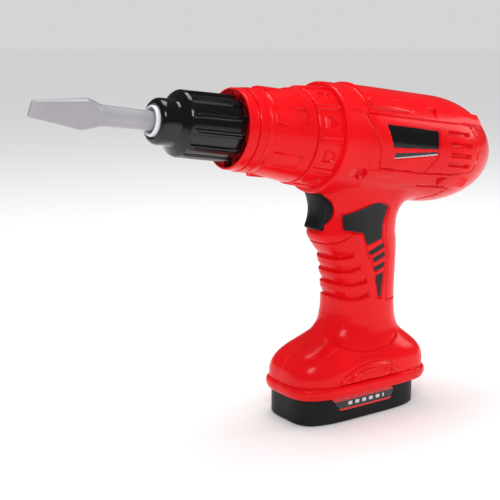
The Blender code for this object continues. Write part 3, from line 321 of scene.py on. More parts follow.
PANEL = ((23.7, 13.2), (27.1, 7.6), (30.2, 2.1), (31.9, -2.1), (33.4, -10.1), (60.0, -10.9), (78.0, -10.4),
         (90.5, -8.6), (93.7, -6.3), (94.9, 0.0), (93.5, 6.9), (89.0, 13.2))
BADGE = ((34.8, 9.4), (66.4, 9.2), (66.9, 8.6), (66.9, 0.8), (66.3, 0.5), (39.0, -0.6))
STRIPE = ((40.3, -3.0), (66.8, -0.6), (66.8, -1.3), (40.5, -5.0))
STRIPE_EDGE = ((40.5, -5.05), (66.8, -1.35), (66.8, -2.1), (40.6, -5.6))
VENTS = ((73.2, 86.2, 8.6), (74.8, 87.8, 3.6), (75.4, 88.4, -1.3), (75.0, 88.0, -5.8))
BADGE_BED, VENT_DEPTH = 1.0, 1.6
PANEL_MARK = ((66.9, -2.2), (61.2, -10.2))
RIDGE, LOW_RIDGE = (29.5, 52.0, 18.0, 2.4), (29.0, 48.0, -12.6, 1.4)     # start, end, height and radius
TOP_W = 13.2                        # height over the axis at which the flank turns into the top
TOP_EDGE = ((13.8, 14.0), (27.2, 13.6))
BANDS = ((33.0, 49.0, 64.0, 97.5, 25.6), (-40.0, -27.0, 71.0, 92.0, 25.1))   # degrees, start, end and radius
HOOK = ((49.0, -21.5), (53.5, -17.2), (80.6, -16.8), (81.6, -17.6), (77.5, -21.4), (71.0, -25.0))
DIMPLE = (25.6, -13.4, 2.4)
COLLAR_END, HOUSING_U = 12.9, 13.6  # where the collar stops and the plain housing starts
COLLAR_BLOCKS, BLOCK_R, BLOCK_U, BLOCK_HALF = 6, 19.5, -12.3, (7.5, 3.6)
RING_RIBS, RIB_U, RIB_HALF = 9, 6.7, (5.6, 1.6)
POCKET = (3.6, 7.8, 0.0, 2.5)
DOME_RINGS = 60
BORE_R, BORE_END = 16.3, -20.0      # the inside of the collar's mouth
INNER_SINK = 0.8                    # the inner skin's distance under the deepest relief
BARREL_SCREWS = ((33.0, 17.2), (84.0, 14.5), (27.4, -14.3))


def wrapped(angle, centre, count):
    """Signed angle to the nearest of count evenly spaced directions, one of which is centre."""
    step = 2.0 * math.pi / count
    return (angle - centre + step / 2.0) % step - step / 2.0


def collar_relief(u, r, angle):
    """Blocks of one radius round the cone, then strips and open-fronted pockets round the ring behind it."""
    aside = np.abs(wrapped(angle, math.radians(25.0), COLLAR_BLOCKS)) * r
    block = np.maximum(aside - BLOCK_HALF[1], np.abs(u - BLOCK_U) - BLOCK_HALF[0])
    height = within(block, 0.35) * (BLOCK_R - r) - 0.35 * line(block, 0.45)
    across, along = np.abs(wrapped(angle, 0.0, RING_RIBS) * r), np.abs(u - RIB_U)
    strip = np.maximum(across - RIB_HALF[1], along - RIB_HALF[0])
    slit = np.maximum(across - 0.45, along - 5.2)
    height += 0.75 * within(strip, 0.35) - 0.45 * within(slit, 0.4)
    between = wrapped(angle, math.pi / RING_RIBS, RING_RIBS) * r
    pocket = capsule(u, between, *POCKET)
    height -= 1.1 * within(pocket, 0.35) * ease((u - 2.6) / 4.5)
    return height


def flank_relief(u, r, angle, left):
    """Side panel, badge bed, vents, ridges and bands of the main housing, as heights over the turned form."""
    w = r * np.sin(angle)
    main = ease((u - HOUSING_U) / 0.3)
    panel = signed(PANEL, u, w)
    height = 0.35 * within(panel, 0.7) - shell_sizes().groove * line(panel, 0.55)
    for outline in (BADGE, STRIPE, STRIPE_EDGE):
        height -= BADGE_BED * within(signed(outline, u, w) - 0.1, 0.3)
    height -= 0.7 * line(to_segments(PANEL_MARK, u, w, closed=False), 0.55)
    for start, end, at in VENTS:
        height -= VENT_DEPTH * within(capsule(u, w, start, end, at, 0.8), 0.35)
    ridge = capsule(u, w, *RIDGE)
    height += 1.2 * within(ridge, 0.7) * (1.0 - ease((u - 36.0) / 20.0))
    height -= 0.7 * line(ridge, 0.55) * (1.0 - ease((u - 44.0) / 10.0))
    top = ease((w - TOP_W) / 0.5)
    height += main * top * (0.9 * within(np.abs(u - 26.9) - 0.65, 0.5) - 0.35 * line(u - 25.4, 0.5))
    height -= 0.4 * line(to_segments(TOP_EDGE, u, w, closed=False), 0.5)
    for low, high, front, rear, out in BANDS:
        middle, half = math.radians((low + high) / 2.0), math.radians((high - low) / 2.0)
        low_w, high_w = DOME_R * math.sin(math.radians(low)), DOME_R * math.sin(math.radians(high))
        along = np.abs(u - (front + rear) / 2.0) - (rear - front) / 2.0
        band = np.maximum((np.abs(angle - middle) - half) * DOME_R, along)
        proud = out + 0.25 - r
        height += within(band, 0.7) * np.maximum(proud, 0.0) * ease((u - front) / 14.0)
        wedge = (front - 1.0, high_w - 0.4), (front + 6.0, high_w - 0.8), (front + 2.6, low_w + 0.4)
        notch = signed(wedge, u, w)
        height -= 1.4 * within(notch, 0.4) * ease((u - front + 1.0) / 4.0)
    height += 0.55 * within(capsule(u, w, *LOW_RIDGE), 0.8) * (1.0 - ease((u - 34.0) / 16.0))
    height -= 0.85 * line(to_segments(HOOK, u, w, closed=False), 0.6)
    if left:
        height -= 1.7 * within(np.hypot(u - DIMPLE[0], w - DIMPLE[1]) - DIMPLE[2], 0.35)
        trough = capsule(u, w, 20.4, DIMPLE[0], DIMPLE[1], 1.9)
        height -= 0.5 * within(trough, 0.8) * ease((u - 18.4) / 4.0)
    return height * main


def barrel_half(side):
    """Outer and inner grids of one barrel half.

    The collar's profile is turned through half a circle. Behind it the radius is a superellipse of the
    distance rearwards, whose power falls towards the underside, and its centre sinks with the square of that
    distance. The reliefs are added to the outer radius.
    """
    sizes = shell_sizes()
    wall, seam = sizes.wall, sizes.seam
    profile = np.array(refine(COLLAR, 111.3 / sizes.rows))
    t = np.linspace(0.0, math.pi / 2.0, DOME_RINGS)[1:]
    along = np.sin(t) ** (2.0 / DOME_POWER)
    down = np.cos(t) ** (2.0 / DOME_POWER)
    down[-1] = 0.0
    u = np.concatenate((profile[:, 0], DOME_U + DOME_LENGTH * along))
    r = np.concatenate((profile[:, 1], DOME_R * down))
    u_in = np.concatenate((profile[:, 0], DOME_U + (DOME_LENGTH - wall) * along))
    bore = np.where(profile[:, 0] < BORE_END, BORE_R, profile[:, 1] - wall - INNER_SINK)
    r_in = np.concatenate((bore, (DOME_R - wall - INNER_SINK) * down))
    columns = sizes.columns
    angle = np.linspace(-math.pi / 2.0, math.pi / 2.0, columns)
    angles = np.repeat(angle[None, :], len(u), axis=0)
    us, rs = columns_of(u, columns), columns_of(r, columns)
    into = np.clip((us - DOME_U) / DOME_LENGTH, 0.0, 1.0)
    power = DOME_POWER - DOME_LEAN * (1.0 - np.sin(angles)) / 2.0
    rs = np.where(us > DOME_U, DOME_R * (1.0 - into ** power) ** (1.0 / power), rs)
    height = collar_relief(us, rs, angles) * (us < COLLAR_END) + flank_relief(us, rs, angles, side < 0.0)
    height -= 0.3 * line(rs * np.cos(angles), 0.5) * (rs > 2.0)
    rs = rs + height
    sink = -DOME_DROP * into ** 2
    outer = barrel_to_world(us, side * np.maximum(rs * np.cos(angles), seam), rs * np.sin(angles) + sink)
    ui, ri = columns_of(u_in, columns), columns_of(r_in, columns)
    inner = barrel_to_world(ui, side * np.maximum(ri * np.cos(angles), seam), ri * np.sin(angles) + sink)
    return outer, inner


# ------------------------------------------------------------------ handle and foot surface

# height, front, rear, half width, and squareness of the front and of the rear
LEVELS = np.array((
    (13.0, -36.6, 40.3, 20.9, 3.6, 4.6), (14.4, -37.3, 40.9, 21.4, 3.6, 4.6),
    (17.2, -37.3, 40.9, 21.4, 3.6, 4.6), (18.6, -36.6, 40.4, 20.8, 3.5, 4.4),
    (22.5, -36.3, 40.5, 20.6, 3.4, 4.2), (26.0, -35.4, 39.9, 20.1, 3.2, 4.0),
    (29.0, -33.2, 38.4, 19.3, 3.0, 3.6), (31.5, -29.8, 36.2, 18.3, 2.8, 3.2),
    (34.0, -24.4, 33.3, 17.0, 2.6, 2.9), (37.0, -17.0, 30.0, 15.7, 2.5, 2.7),
    (41.0, -12.7, 27.7, 14.9, 2.4, 2.6), (47.0, -10.5, 26.6, 14.4, 2.4, 2.5),
    (54.0, -9.9, 26.3, 14.2, 2.4, 2.5), (61.0, -10.4, 26.4, 14.2, 2.4, 2.5),
    (70.0, -11.7, 26.8, 14.3, 2.4, 2.5), (77.0, -13.4, 27.0, 14.4, 2.4, 2.5),
    (81.5, -16.4, 26.9, 14.5, 2.5, 2.5), (85.0, -18.4, 26.4, 14.6, 2.6, 2.5),
    (90.0, -17.4, 26.8, 14.7, 2.6, 2.6), (96.0, -16.6, 28.0, 14.9, 2.6, 2.6),
    (102.0, -17.6, 30.0, 15.3, 2.6, 2.6)))

INLAY = ((-11.0, 95.6), (7.2, 100.8), (13.5, 98.4), (10.6, 90.4), (10.6, 83.6), (1.9, 81.0), (-0.7, 87.0),
         (-10.8, 89.2))
BARS = {
    "bar_1": ((2.7, 77.7), (11.7, 81.1), (12.5, 79.2), (4.2, 76.1)),
    "bar_2": ((5.4, 74.4), (12.7, 77.0), (12.8, 74.9), (6.6, 72.5)),
    "bar_3": ((6.3, 70.0), (12.5, 72.0), (12.3, 69.8), (7.1, 67.9)),
    "tip": ((7.6, 65.9), (12.0, 67.0), (10.9, 55.6), (9.7, 55.6)),
}
INLAY_RIM = ((13.9, 98.6), (11.2, 90.4), (11.2, 83.3), (13.5, 79.0), (13.5, 72.0), (12.7, 65.5),
             (11.6, 54.8), (9.2, 54.8), (7.0, 65.5), (5.0, 73.2), (2.0, 76.4), (1.2, 81.0), (-1.3, 86.5),
             (-11.4, 88.7), (-11.6, 96.0), (7.2, 101.5))
SCOOP = (-26.5, 96.5, 14.3, 12.3)   # centre and radii of the finger scoop beside the trigger
WEB = 7.6                           # half width left beside the trigger
FINGERS = ((-4.5, 76.0), (-1.3, 69.7), (2.6, 63.4), (4.0, 56.6))
FINGER_DEPTH, FINGER_RISE = 1.55, 3.9
ARC = ((-21.0, 83.0), (-17.0, 82.2), (-13.0, 82.9), (-9.0, 85.0), (-5.8, 87.2), (-3.4, 88.2), (-1.0, 88.4))
SPINE = ((22.0, 104.0), (17.2, 101.6), (15.0, 98.0), (12.8, 90.6), (13.4, 82.6), (15.0, 78.8),
         (15.0, 71.6), (14.2, 58.2), (14.2, 53.4), (17.8, 53.2), (30.0, 53.2))
CRESCENT = ((-15.0, 37.5), (-11.0, 34.0), (-4.0, 31.8), (5.0, 31.2), (14.0, 32.4), (20.5, 35.0),
            (24.0, 38.0))
FOOT_ARCH = ((-17.5, 18.6), (-16.0, 21.5), (-12.0, 24.0), (-6.0, 26.0), (0.5, 27.0), (7.0, 26.0),
             (13.0, 24.0), (17.0, 21.5), (18.5, 18.6))
ARCH_MIDDLE, FOOT_EDGE = 0.5, 18.6
ARCH_SLOTS = (-11.0, -6.5, -2.0, 2.5, 7.0, 11.5)
HANDLE_COLUMNS, HANDLE_ROWS, LANDING_ROWS = 210, 226, 22
LEAVE_FRONT, LEAVE_DROP = 100.0, 14.0   # where the landing curve starts, and how much lower at the rear
LAND_OUT, LAND_MORE = 3.2, 7.5      # how far out it lands, and how much further at the rear
SUNK = 1.2                          # how far the skin goes on into the barrel
HANDLE_SCREWS = ((8.0, 62.0), (-24.0, 26.0), (31.5, 28.0))


def ring_point(level, turn):
    """Plan point and outward plan normal of a level.

    Each half, front and rear, is a superellipse: reach and half width times a squarer cosine and sine.
    """
    front, rear, half, n_front, n_rear = level
    middle = (front + rear) / 2.0
    reach = (rear - front) / 2.0
    power = np.where(np.cos(turn) < 0.0, n_front, n_rear)
    c, s = np.cos(turn), np.sin(turn)
    a = squarer(c, power)
    b = np.abs(s) ** (2.0 / power)
    nx = np.sign(a) * np.abs(a) ** (power - 1.0) / reach
    ny = b ** (power - 1.0) / half
    size = np.hypot(nx, ny)
    return middle + reach * a, half * b, nx / size, ny / size


def handle_levels(z):
    """Front, rear, half width and both squarenesses at any height, by a smooth curve through LEVELS."""
    return [hermite(z, LEVELS[:, 0], LEVELS[:, k]) for k in range(1, 6)]


def under_barrel(x, y):
    """Height of the barrel's underside over a plan point, found by three rounds of substitution."""
    y = np.clip(y, 0.0, 25.0)
    w = np.full(np.shape(x), -20.0)
    for _ in range(3):
        u = np.clip((x - START[0] - w * LIFT[0]) / AXIS[0], 13.5, 95.0)
        r = np.interp(u, [p[0] for p in COLLAR], [p[1] for p in COLLAR])
        w = -np.sqrt(np.maximum(r * r - y * y, 1.0))
    return START[2] + u * AXIS[2] + w * LIFT[2]


def handle_relief(x, z, ny):
    """Finger grooves, inlay bed, arcs and foot relief, as heights along the plan normal."""
    flank = ease((ny - 0.25) / 0.3)
    height = np.zeros(np.shape(x))
    for rear, low in FINGERS:
        back = np.clip((rear - x) / 16.0, 0.0, 1.0)
        edge = z - (low - 1.6 * np.sin(math.pi * back))
        ramp = np.clip(1.0 - edge / FINGER_RISE, 0.0, 1.0) * ease((edge + 0.2) / 0.45)
        height -= FINGER_DEPTH * ramp * within(x - rear, 0.4)
    rim = signed(INLAY_RIM, x, z)
    height -= flank * (0.65 * line(rim, 0.5) + 0.12 * within(rim, 0.6))
    for outline in (INLAY, *BARS.values()):
        height -= flank * 0.5 * within(signed(outline, x, z) - 0.1, 0.3)
    height -= 0.75 * line(to_segments(ARC, x, z, closed=False), 0.55)
    height -= flank * 0.8 * line(to_segments(CRESCENT, x, z, closed=False), 0.6)
    height -= flank * 0.6 * line(to_segments(SPINE, x, z, closed=False), 0.5)
    height -= 0.7 * line(z - 18.3, 0.6)
    arch = signed(FOOT_ARCH, x, z)
    nested = [(ARCH_MIDDLE + (a - ARCH_MIDDLE) * 0.82, FOOT_EDGE + (b - FOOT_EDGE) * 0.74)
              for a, b in FOOT_ARCH]
    inner = signed(nested, x, z)
    height += flank * (0.6 * within(arch, 0.6) - 0.55 * line(arch, 0.5) - 0.5 * line(inner, 0.45))
    for at in ARCH_SLOTS:
        slot = to_segments(((at, FOOT_EDGE + 1.0), (at + 1.6, FOOT_EDGE + 4.2)), x, z, closed=False) - 0.5
        height -= flank * 0.6 * within(slot, 0.4)
    return height


def handle_half(side):
    """Outer and inner grids of one handle half: rings up to a height, then curves that land on the barrel.

    The landing curve is quadratic: (1 - t) squared times the last ring's point, twice t times (1 - t) times
    the point above it on the barrel's underside, and t squared times the landing point.
    """
    sizes = shell_sizes()
    wall, seam = sizes.wall, sizes.seam
    columns, lower, upper = HANDLE_COLUMNS, HANDLE_ROWS, LANDING_ROWS
    turn = np.linspace(0.0, math.pi, columns)
    rear = ease((np.cos(turn) - 0.1) / 0.8)
    leave = LEAVE_FRONT - LEAVE_DROP * rear
    share = np.linspace(0.0, 1.0, lower)[:, None]
    z = LEVELS[0, 0] + (leave[None, :] - LEVELS[0, 0]) * share
    level = handle_levels(z)
    round_turn = np.repeat(turn[None, :], lower, axis=0)
    x, y, nx, ny = ring_point(level, round_turn)
    out = LAND_OUT + LAND_MORE * rear
    land_x, land_y = x[-1] + nx[-1] * out, y[-1] + ny[-1] * out * (y[-1] > 0.5)
    t = np.linspace(0.0, 1.0, upper + 1)[1:, None]
    corner = under_barrel(x[-1], y[-1])
    end = under_barrel(land_x, land_y)
    fx, fy, fz = ((1 - t) ** 2 * a + 2 * t * (1 - t) * b + t * t * c
                  for a, b, c in ((x[-1], x[-1], land_x), (y[-1], y[-1], land_y), (leave, corner, end)))
    sunk = np.stack((land_x, land_y * 0.97, end + SUNK), axis=-1)[None]
    height = handle_relief(x, z, ny)
    x, y = x + height * nx, y + height * ny
    xs, ys, zs = np.vstack((x, fx)), np.vstack((y, fy)), np.vstack((z, fz))
    oval = np.hypot((xs - SCOOP[0]) / SCOOP[2], (zs - SCOOP[1]) / SCOOP[3])
    keep = ease((oval - 0.78) / 0.25)
    ys = np.where(ys > WEB, WEB + (ys - WEB) * keep, ys)
    outer = np.stack((xs, side * np.maximum(ys, seam), zs), axis=-1)
    sunk[..., 1] = side * np.maximum(sunk[..., 1], seam)
    outer = np.concatenate((outer, sunk))
    inset = [level[0] + wall, level[1] - wall, level[2] - wall, level[3], level[4]]
    ix, iy, _, _ = ring_point(inset, round_turn)
    scooped = np.hypot((ix - SCOOP[0]) / (SCOOP[2] + wall), (z - SCOOP[1]) / (SCOOP[3] + wall)) < 1.0
    iy = np.where(scooped, np.minimum(iy, WEB - wall), iy)
    rise = np.linspace(0.0, 1.0, upper + 2)[1:, None]
    up_z = leave + rise * (end + SUNK - leave)
    ix, iy = (np.vstack((rows, np.repeat(rows[-1:], upper + 1, axis=0))) for rows in (ix, iy))
    inner = np.stack((ix, side * np.maximum(iy, seam), np.vstack((z, up_z))), axis=-1)
    return outer, inner


# ------------------------------------------------------------------ cutting and laying on

def prism_round(x, z, low, high, radius, count=40):
    """Rings of a round bar across the drill, as a cutter: a point, two circles and a point."""
    turn = turns(count)
    ring = np.stack((x + radius * np.cos(turn), np.zeros(count), z + radius * np.sin(turn)), axis=-1)
    rings = [ring * (1, 0, 1) + (0, y, 0) for y in (low, high)]
    middle = [np.full((count, 3), (x, y, z)) for y in (low, high)]
    return np.stack((middle[0], rings[0], rings[1], middle[1]))


def cut(mesh, name, rings):
    """Take a closed skin out of a mesh, and return the result as a mesh."""
    target = bpy.data.objects.new(f"{name}_target", mesh)
    tool = bpy.data.objects.new(f"{name}_tool", closed_skin(f"{name}_tool", rings))
    for thing in (target, tool):
        bpy.context.scene.collection.objects.link(thing)
    step = target.modifiers.new("cut", "BOOLEAN")
    step.operation = "DIFFERENCE"
    step.solver = "EXACT"
    step.object = tool
    bpy.context.view_layer.update()
    graph = bpy.context.evaluated_depsgraph_get()
    made = bpy.data.meshes.new_from_object(target.evaluated_get(graph))
    bpy.data.objects.remove(target)
    bpy.data.objects.remove(tool)
    made.shade_smooth()
    made.set_sharp_from_angle(angle=math.radians(SHARP))
    return made


def block_rings(low, high):
    """A block as a closed skin of four rings: a point, two squares and a point."""
    (x0, y0, z0), (x1, y1, z1) = low, high
    square = np.array(((x0, y0), (x1, y0), (x1, y1), (x0, y1)), float)
    middle = square.mean(axis=0)
    rings = []
    for flat, z in ((middle, z0), (square, z0), (square, z1), (middle, z1)):
        flat = np.broadcast_to(flat, (4, 2))
        rings.append(np.column_stack((flat, np.full(4, z))))
    return np.stack(rings)


def barrel_flank(side):
    """Skin function of a barrel flank: y is the root of radius squared less w squared."""
    def skin(u, w, out):
        r = np.interp(u, [p[0] for p in COLLAR], [p[1] for p in COLLAR]) + out
        y = np.sqrt(np.maximum(r * r - w * w, 0.1))
        return barrel_to_world(u, side * y, w)
    return skin


def handle_flank(side):
    """Skin function of a handle flank: y is the level's superellipse at x."""
    def skin(x, z, out):
        front, rear, half, n_front, n_rear = handle_levels(z)
        middle, reach = (front + rear) / 2.0, (rear - front) / 2.0
        power = np.where(x < middle, n_front, n_rear)
        return np.stack((x, side * oval_half(x, middle, reach, half + out, power), z), axis=-1)
    return skin


def flank_plate(name, outline, skin, out, thick, step=1.1):
    """A thin plate that lies on a skin: its outline cut into squares of step, laid on, and thickened."""
    shape = bmesh.new()
    shape.faces.new([shape.verts.new((a, b, 0.0)) for a, b in outline])
    points = np.array(outline)
    for k in (0, 1):
        normal = (1.0, 0.0, 0.0) if k == 0 else (0.0, 1.0, 0.0)
        for value in np.arange(points[:, k].min() + step / 2.0, points[:, k].max(), step):
            place = (value, 0.0, 0.0) if k == 0 else (0.0, value, 0.0)
            everything = shape.verts[:] + shape.edges[:] + shape.faces[:]
            bmesh.ops.bisect_plane(shape, geom=everything, plane_co=place, plane_no=normal)
    shape.verts.index_update()
    edge = [[v.index for v in e.verts] for e in shape.edges if e.is_boundary]
    mesh = bpy.data.meshes.new(name)
    shape.to_mesh(mesh)
    shape.free()
    faces = [list(f.vertices) for f in mesh.polygons]
    count = len(mesh.vertices)
    flat = np.empty(3 * count, np.float32)
    mesh.vertices.foreach_get("co", flat)
    flat = flat.astype(float).reshape(count, 3)[:, :2]
    mesh.clear_geometry()
    top, under = skin(flat[:, 0], flat[:, 1], out), skin(flat[:, 0], flat[:, 1], out - thick)
    faces = faces + [[i + count for i in reversed(f)] for f in faces]
    faces += [[a, b, b + count, a + count] for a, b in edge]
    mesh.from_pydata((np.concatenate((top, under)) * MM).tolist(), [], faces)
    shape = bmesh.new()
    shape.from_mesh(mesh)
    bmesh.ops.recalc_face_normals(shape, faces=shape.faces)
    shape.to_mesh(mesh)
    shape.free()
    size = points.max(axis=0) - points.min(axis=0)
    across = (flat - points.min(axis=0)) / size
    uv = mesh.uv_layers.new(name="flat")
    index = np.zeros(len(mesh.loops), np.int32)
    mesh.loops.foreach_get("vertex_index", index)
    uv.data.foreach_set("uv", across[index % count].astype(np.float32).ravel())
    mesh.shade_smooth()
    mesh.set_sharp_from_angle(angle=math.radians(SHARP_PLATE))
    return mesh


def soften(thing, width, segments=2):
    """Round the sharp edges of a piece."""
    step = thing.modifiers.new("soften", "BEVEL")
    step.width = width * MM
    step.segments = segments
    step.limit_method = "ANGLE"
    step.angle_limit = math.radians(50.0)
    return thing


# ------------------------------------------------------------------ finishes

class Wire:
    """A node output that works in expressions: adding, multiplying and so on lay down Math nodes."""

    def __init__(self, finish, socket):
        self.finish, self.socket = finish, socket

    def maths(self, operation, *values):
        return self.finish.node("ShaderNodeMath", {"operation": operation}, dict(enumerate(values)))

    def beside(self, name):
        """Another output of the same node."""
        return Wire(self.finish, self.socket.node.outputs[name])

    def __add__(self, other):
        return self.maths("ADD", self, other)

    __radd__ = __add__

    def __mul__(self, other):
        return self.maths("MULTIPLY", self, other)

    __rmul__ = __mul__

    def above(self, other):
        return self.maths("GREATER_THAN", self, other)

    def below(self, other):
        return self.maths("LESS_THAN", self, other)


class Finish:
    """A material under construction, with one method that lays down any node."""

    def __init__(self, name, **constants):
        self.look = bpy.data.materials.new(name)
        self.look.use_nodes = True
        self.tree = self.look.node_tree
        self.shader = self.tree.nodes["Principled BSDF"]
        for socket, value in constants.items():
            self.shader.inputs[socket.replace("_", " ")].default_value = value
        self.place = self.node("ShaderNodeTexCoord", {}, {}, "Object")

    def node(self, kind, settings, values, output=0):
        """Lay down a node: its settings first, then the values or wires of its sockets."""
        node = self.tree.nodes.new(kind)
        for key, value in settings.items():
            setattr(node, key, value)
        for key, value in values.items():
            if isinstance(value, Wire):
                self.tree.links.new(value.socket, node.inputs[key])
            else:
                node.inputs[key].default_value = value
        return Wire(self, node.outputs[output])

    def feed(self, socket, value):
        """Wire a value into the shader."""
        self.tree.links.new(value.socket, self.shader.inputs[socket])
        return self

    def noise(self, scale, detail=2.0, stretch=(1.0, 1.0, 1.0), distortion=0.0):
        """Smooth noise on object coordinates, stretched by a scale on each axis."""
        place = self.node("ShaderNodeMapping", {}, {"Vector": self.place, "Scale": stretch})
        return self.node("ShaderNodeTexNoise", {}, {"Vector": place, "Scale": scale, "Detail": detail,
                                                    "Distortion": distortion}, "Fac")

    def spread(self, value, low, high, to_low, to_high):
        """Carry a value from one range to another, clamped."""
        return self.node("ShaderNodeMapRange", {}, {"Value": value, "From Min": low, "From Max": high,
                                                    "To Min": to_low, "To Max": to_high})

    def blend(self, share, a, b):
        """Mix two colours."""
        a = a if isinstance(a, Wire) else (*a[:3], 1.0)
        b = b if isinstance(b, Wire) else (*b[:3], 1.0)
        return self.node("ShaderNodeMix", {"data_type": "RGBA"}, {"Factor": share, 6: a, 7: b}, 2)

    def edge_wear_and_painted_glint(self):
        """How sharp an outward edge is here, from the mesh's own pointiness: the mask of the paler edges, which
        are partly edge wear and partly a painted edge highlight.
        """
        point = self.node("ShaderNodeNewGeometry", {}, {}, "Pointiness")
        return self.spread(point, 0.53, 0.62, 0.0, 1.0)

    def bump(self, height, strength, distance=0.0002):
        """Turn a height into the surface's normal."""
        return self.feed("Normal", self.node("ShaderNodeBump", {}, {"Height": height, "Strength": strength,
                                                                    "Distance": distance}))


def tint(colour, factor):
    """A colour made lighter or darker."""
    return tuple(min(1.0, c * factor) for c in colour)


def moulded(name, colour, rough, grain, wear_and_painted_glint=0.12, **constants):
    """Moulded plastic: faint flow marks, handling smudges in the gloss, a fine grain and paler edges, which are
    partly edge wear and partly a painted edge highlight.
    """
    finish = Finish(name, **constants)
    flow = finish.noise(35.0, 3.0, (1.0, 1.0, 0.4), 0.6)
    smudge = finish.noise(60.0, 4.0)
    fine = finish.noise(2600.0, 2.0)
    swell = finish.noise(160.0, 1.0)
    body = finish.blend(finish.spread(flow, 0.35, 0.65, 0.0, 1.0), tint(colour, 0.92), tint(colour, 1.06))
    # paler sharp edges: partly edge wear, partly a painted edge highlight
    pale = tuple(c + (1.0 - c) * 0.35 for c in colour)
    finish.feed("Base Color", finish.blend(finish.edge_wear_and_painted_glint() * wear_and_painted_glint, body, pale))
    finish.feed("Roughness", finish.spread(smudge, 0.3, 0.7, rough * 0.85, rough * 1.25))
    return finish.bump(fine * grain + swell * 0.5, 0.25).look


def metal(name, colour, rough, stretch):
    """Metal stock: drawing marks along one axis, dull patches, and scratches."""
    finish = Finish(name, Metallic=1.0)
    marks = finish.noise(900.0, 3.0, stretch)
    patches = finish.noise(180.0, 3.0)
    tone = finish.spread(patches, 0.3, 0.7, 0.0, 1.0)
    finish.feed("Base Color", finish.blend(tone, tint(colour, 0.82), colour))
    finish.feed("Roughness", finish.spread(marks + patches * 0.5, 0.5, 1.0, rough * 0.8, rough * 1.4))
    return finish.bump(marks, 0.2, 0.0001).look


def wrapped_cell():
    """A battery cell's printed sleeve: dark body, coppery band at one end, faint wrinkles."""
    finish = Finish("cell_sleeve", Coat_Weight=0.4)
    along = finish.node("ShaderNodeSeparateXYZ", {}, {"Vector": finish.place}, "X")
    band = finish.spread(along, 0.010, 0.0104, 0.0, 1.0)
    wrinkle = finish.noise(300.0, 3.0, (4.0, 1.0, 1.0))
    dark = finish.blend(finish.spread(wrinkle, 0.3, 0.7, 0.0, 1.0), (0.02, 0.05, 0.11), (0.03, 0.07, 0.15))
    finish.feed("Base Color", finish.blend(band, dark, (0.45, 0.19, 0.07)))
    finish.feed("Roughness", finish.spread(wrinkle, 0.3, 0.7, 0.25, 0.4))
    return finish.bump(wrinkle, 0.3).look


LABEL_BAND, LABEL_LINE = 0.72, 0.14     # shares of the height over and under which the label is red
LABEL_ROW, LABEL_SPAN = (0.33, 0.58), (0.2, 0.83)    # where the light bars are, up and along
LABEL_BARS, LABEL_BAR = 9.0, (0.25, 0.8)    # bars in the whole length, and the light share of each


def printed_label():
    """The battery label: a red band, a black middle with a plain row of light bars, and a red line."""
    finish = Finish("battery_label", Coat_Weight=0.3)
    flat = finish.node("ShaderNodeUVMap", {"uv_map": "flat"}, {})
    across = finish.node("ShaderNodeSeparateXYZ", {}, {"Vector": flat}, "X")
    up = across.beside("Y")
    mottle = finish.noise(400.0, 2.0)
    red = finish.blend(mottle, tint(colours().red, 0.75), colours().red)
    black = finish.blend(mottle, (0.012, 0.012, 0.013), (0.02, 0.02, 0.022))
    saw = across.maths("FRACT", across * LABEL_BARS)
    bars = up.above(LABEL_ROW[0]) * up.below(LABEL_ROW[1]) * saw.above(LABEL_BAR[0]) * saw.below(LABEL_BAR[1])
    bars = bars * across.above(LABEL_SPAN[0]) * across.below(LABEL_SPAN[1])
    face = finish.blend(up.above(LABEL_BAND), black, red)
    face = finish.blend(up.below(LABEL_LINE), face, red)
    finish.feed("Base Color", finish.blend(bars, face, (0.66, 0.66, 0.68)))
    finish.feed("Roughness", finish.spread(mottle, 0.3, 0.7, 0.25, 0.35))
    return finish.bump(mottle, 0.05).look


def make_finishes():
    """Every finish of the drill, by name."""
    tones = colours()
    red, black, grey = tuple(tones.red), tuple(tones.black), tuple(tones.grey)
    return {
        "red_shell": moulded("red_gloss", red, 0.22, 0.35, 0.06, Specular_IOR_Level=0.12,
                             Coat_Weight=0.14, Coat_Roughness=0.06),
        "black_gloss": moulded("black_gloss", tint(black, 0.7), 0.13, 0.2, 0.05, Specular_IOR_Level=0.3,
                               Coat_Weight=0.35, Coat_Roughness=0.03),
        "black_satin": moulded("black_satin", tint(black, 1.1), 0.36, 1.6, 0.05, Specular_IOR_Level=0.16),
        "inlay": moulded("black_inlay", tint(black, 0.9), 0.3, 0.8, 0.05, Specular_IOR_Level=0.3),
        "grey_bit": moulded("grey_bit", grey, 0.3, 0.5, 0.25, Coat_Weight=0.2),
        "light_ring": moulded("light_ring", (0.80, 0.78, 0.84), 0.3, 0.3, 0.2),
        "silver": moulded("silver_paint", (0.55, 0.55, 0.58), 0.3, 0.5, 0.2, Metallic=0.6),
        "nylon": moulded("nylon", (0.78, 0.76, 0.69), 0.45, 0.6, 0.2),
        "steel": metal("zinc_plate", (0.62, 0.63, 0.65), 0.3, (0.2, 1.0, 1.0)),
        "brass": metal("brass_strip", (0.78, 0.6, 0.28), 0.32, (1.0, 1.0, 0.2)),
        "cell_wrap": wrapped_cell(),
        "wire_skin": moulded("wire_skin", (0.5, 0.02, 0.02), 0.4, 0.8, 0.1),
        "label": printed_label(),
    }


def look(name):
    """A finish by name; all of them are made the first time one is asked for."""
    if not FINISHES:
        FINISHES.update(make_finishes())
    return FINISHES[name]


# ------------------------------------------------------------------ pieces

WELL_FLOOR, WELL_TOP, WELL_R = 7.2, 60.0, 2.9
OPENING_HALF, OPENING_REAR, OPENING_FRONT = 5.5, -3.4, 12.0
OPENING_GAP = 0.4                   # over and under the trigger
CHEEK_X, CHEEK_R, CHEEK_HALF = -26.0, 13.0, 8.8
CHEEK_Z, CHEEK_SQUASH = 97.55, 0.71


def world_xz(u, w):
    """World x and z of a point in the barrel's middle plane."""
    place = START + u * AXIS + w * LIFT
    return place[0], place[2]


def screw_well(x, z):
    """The round well over a screw head on the right side."""
    return prism_round(x, z, WELL_FLOOR, WELL_TOP, WELL_R)


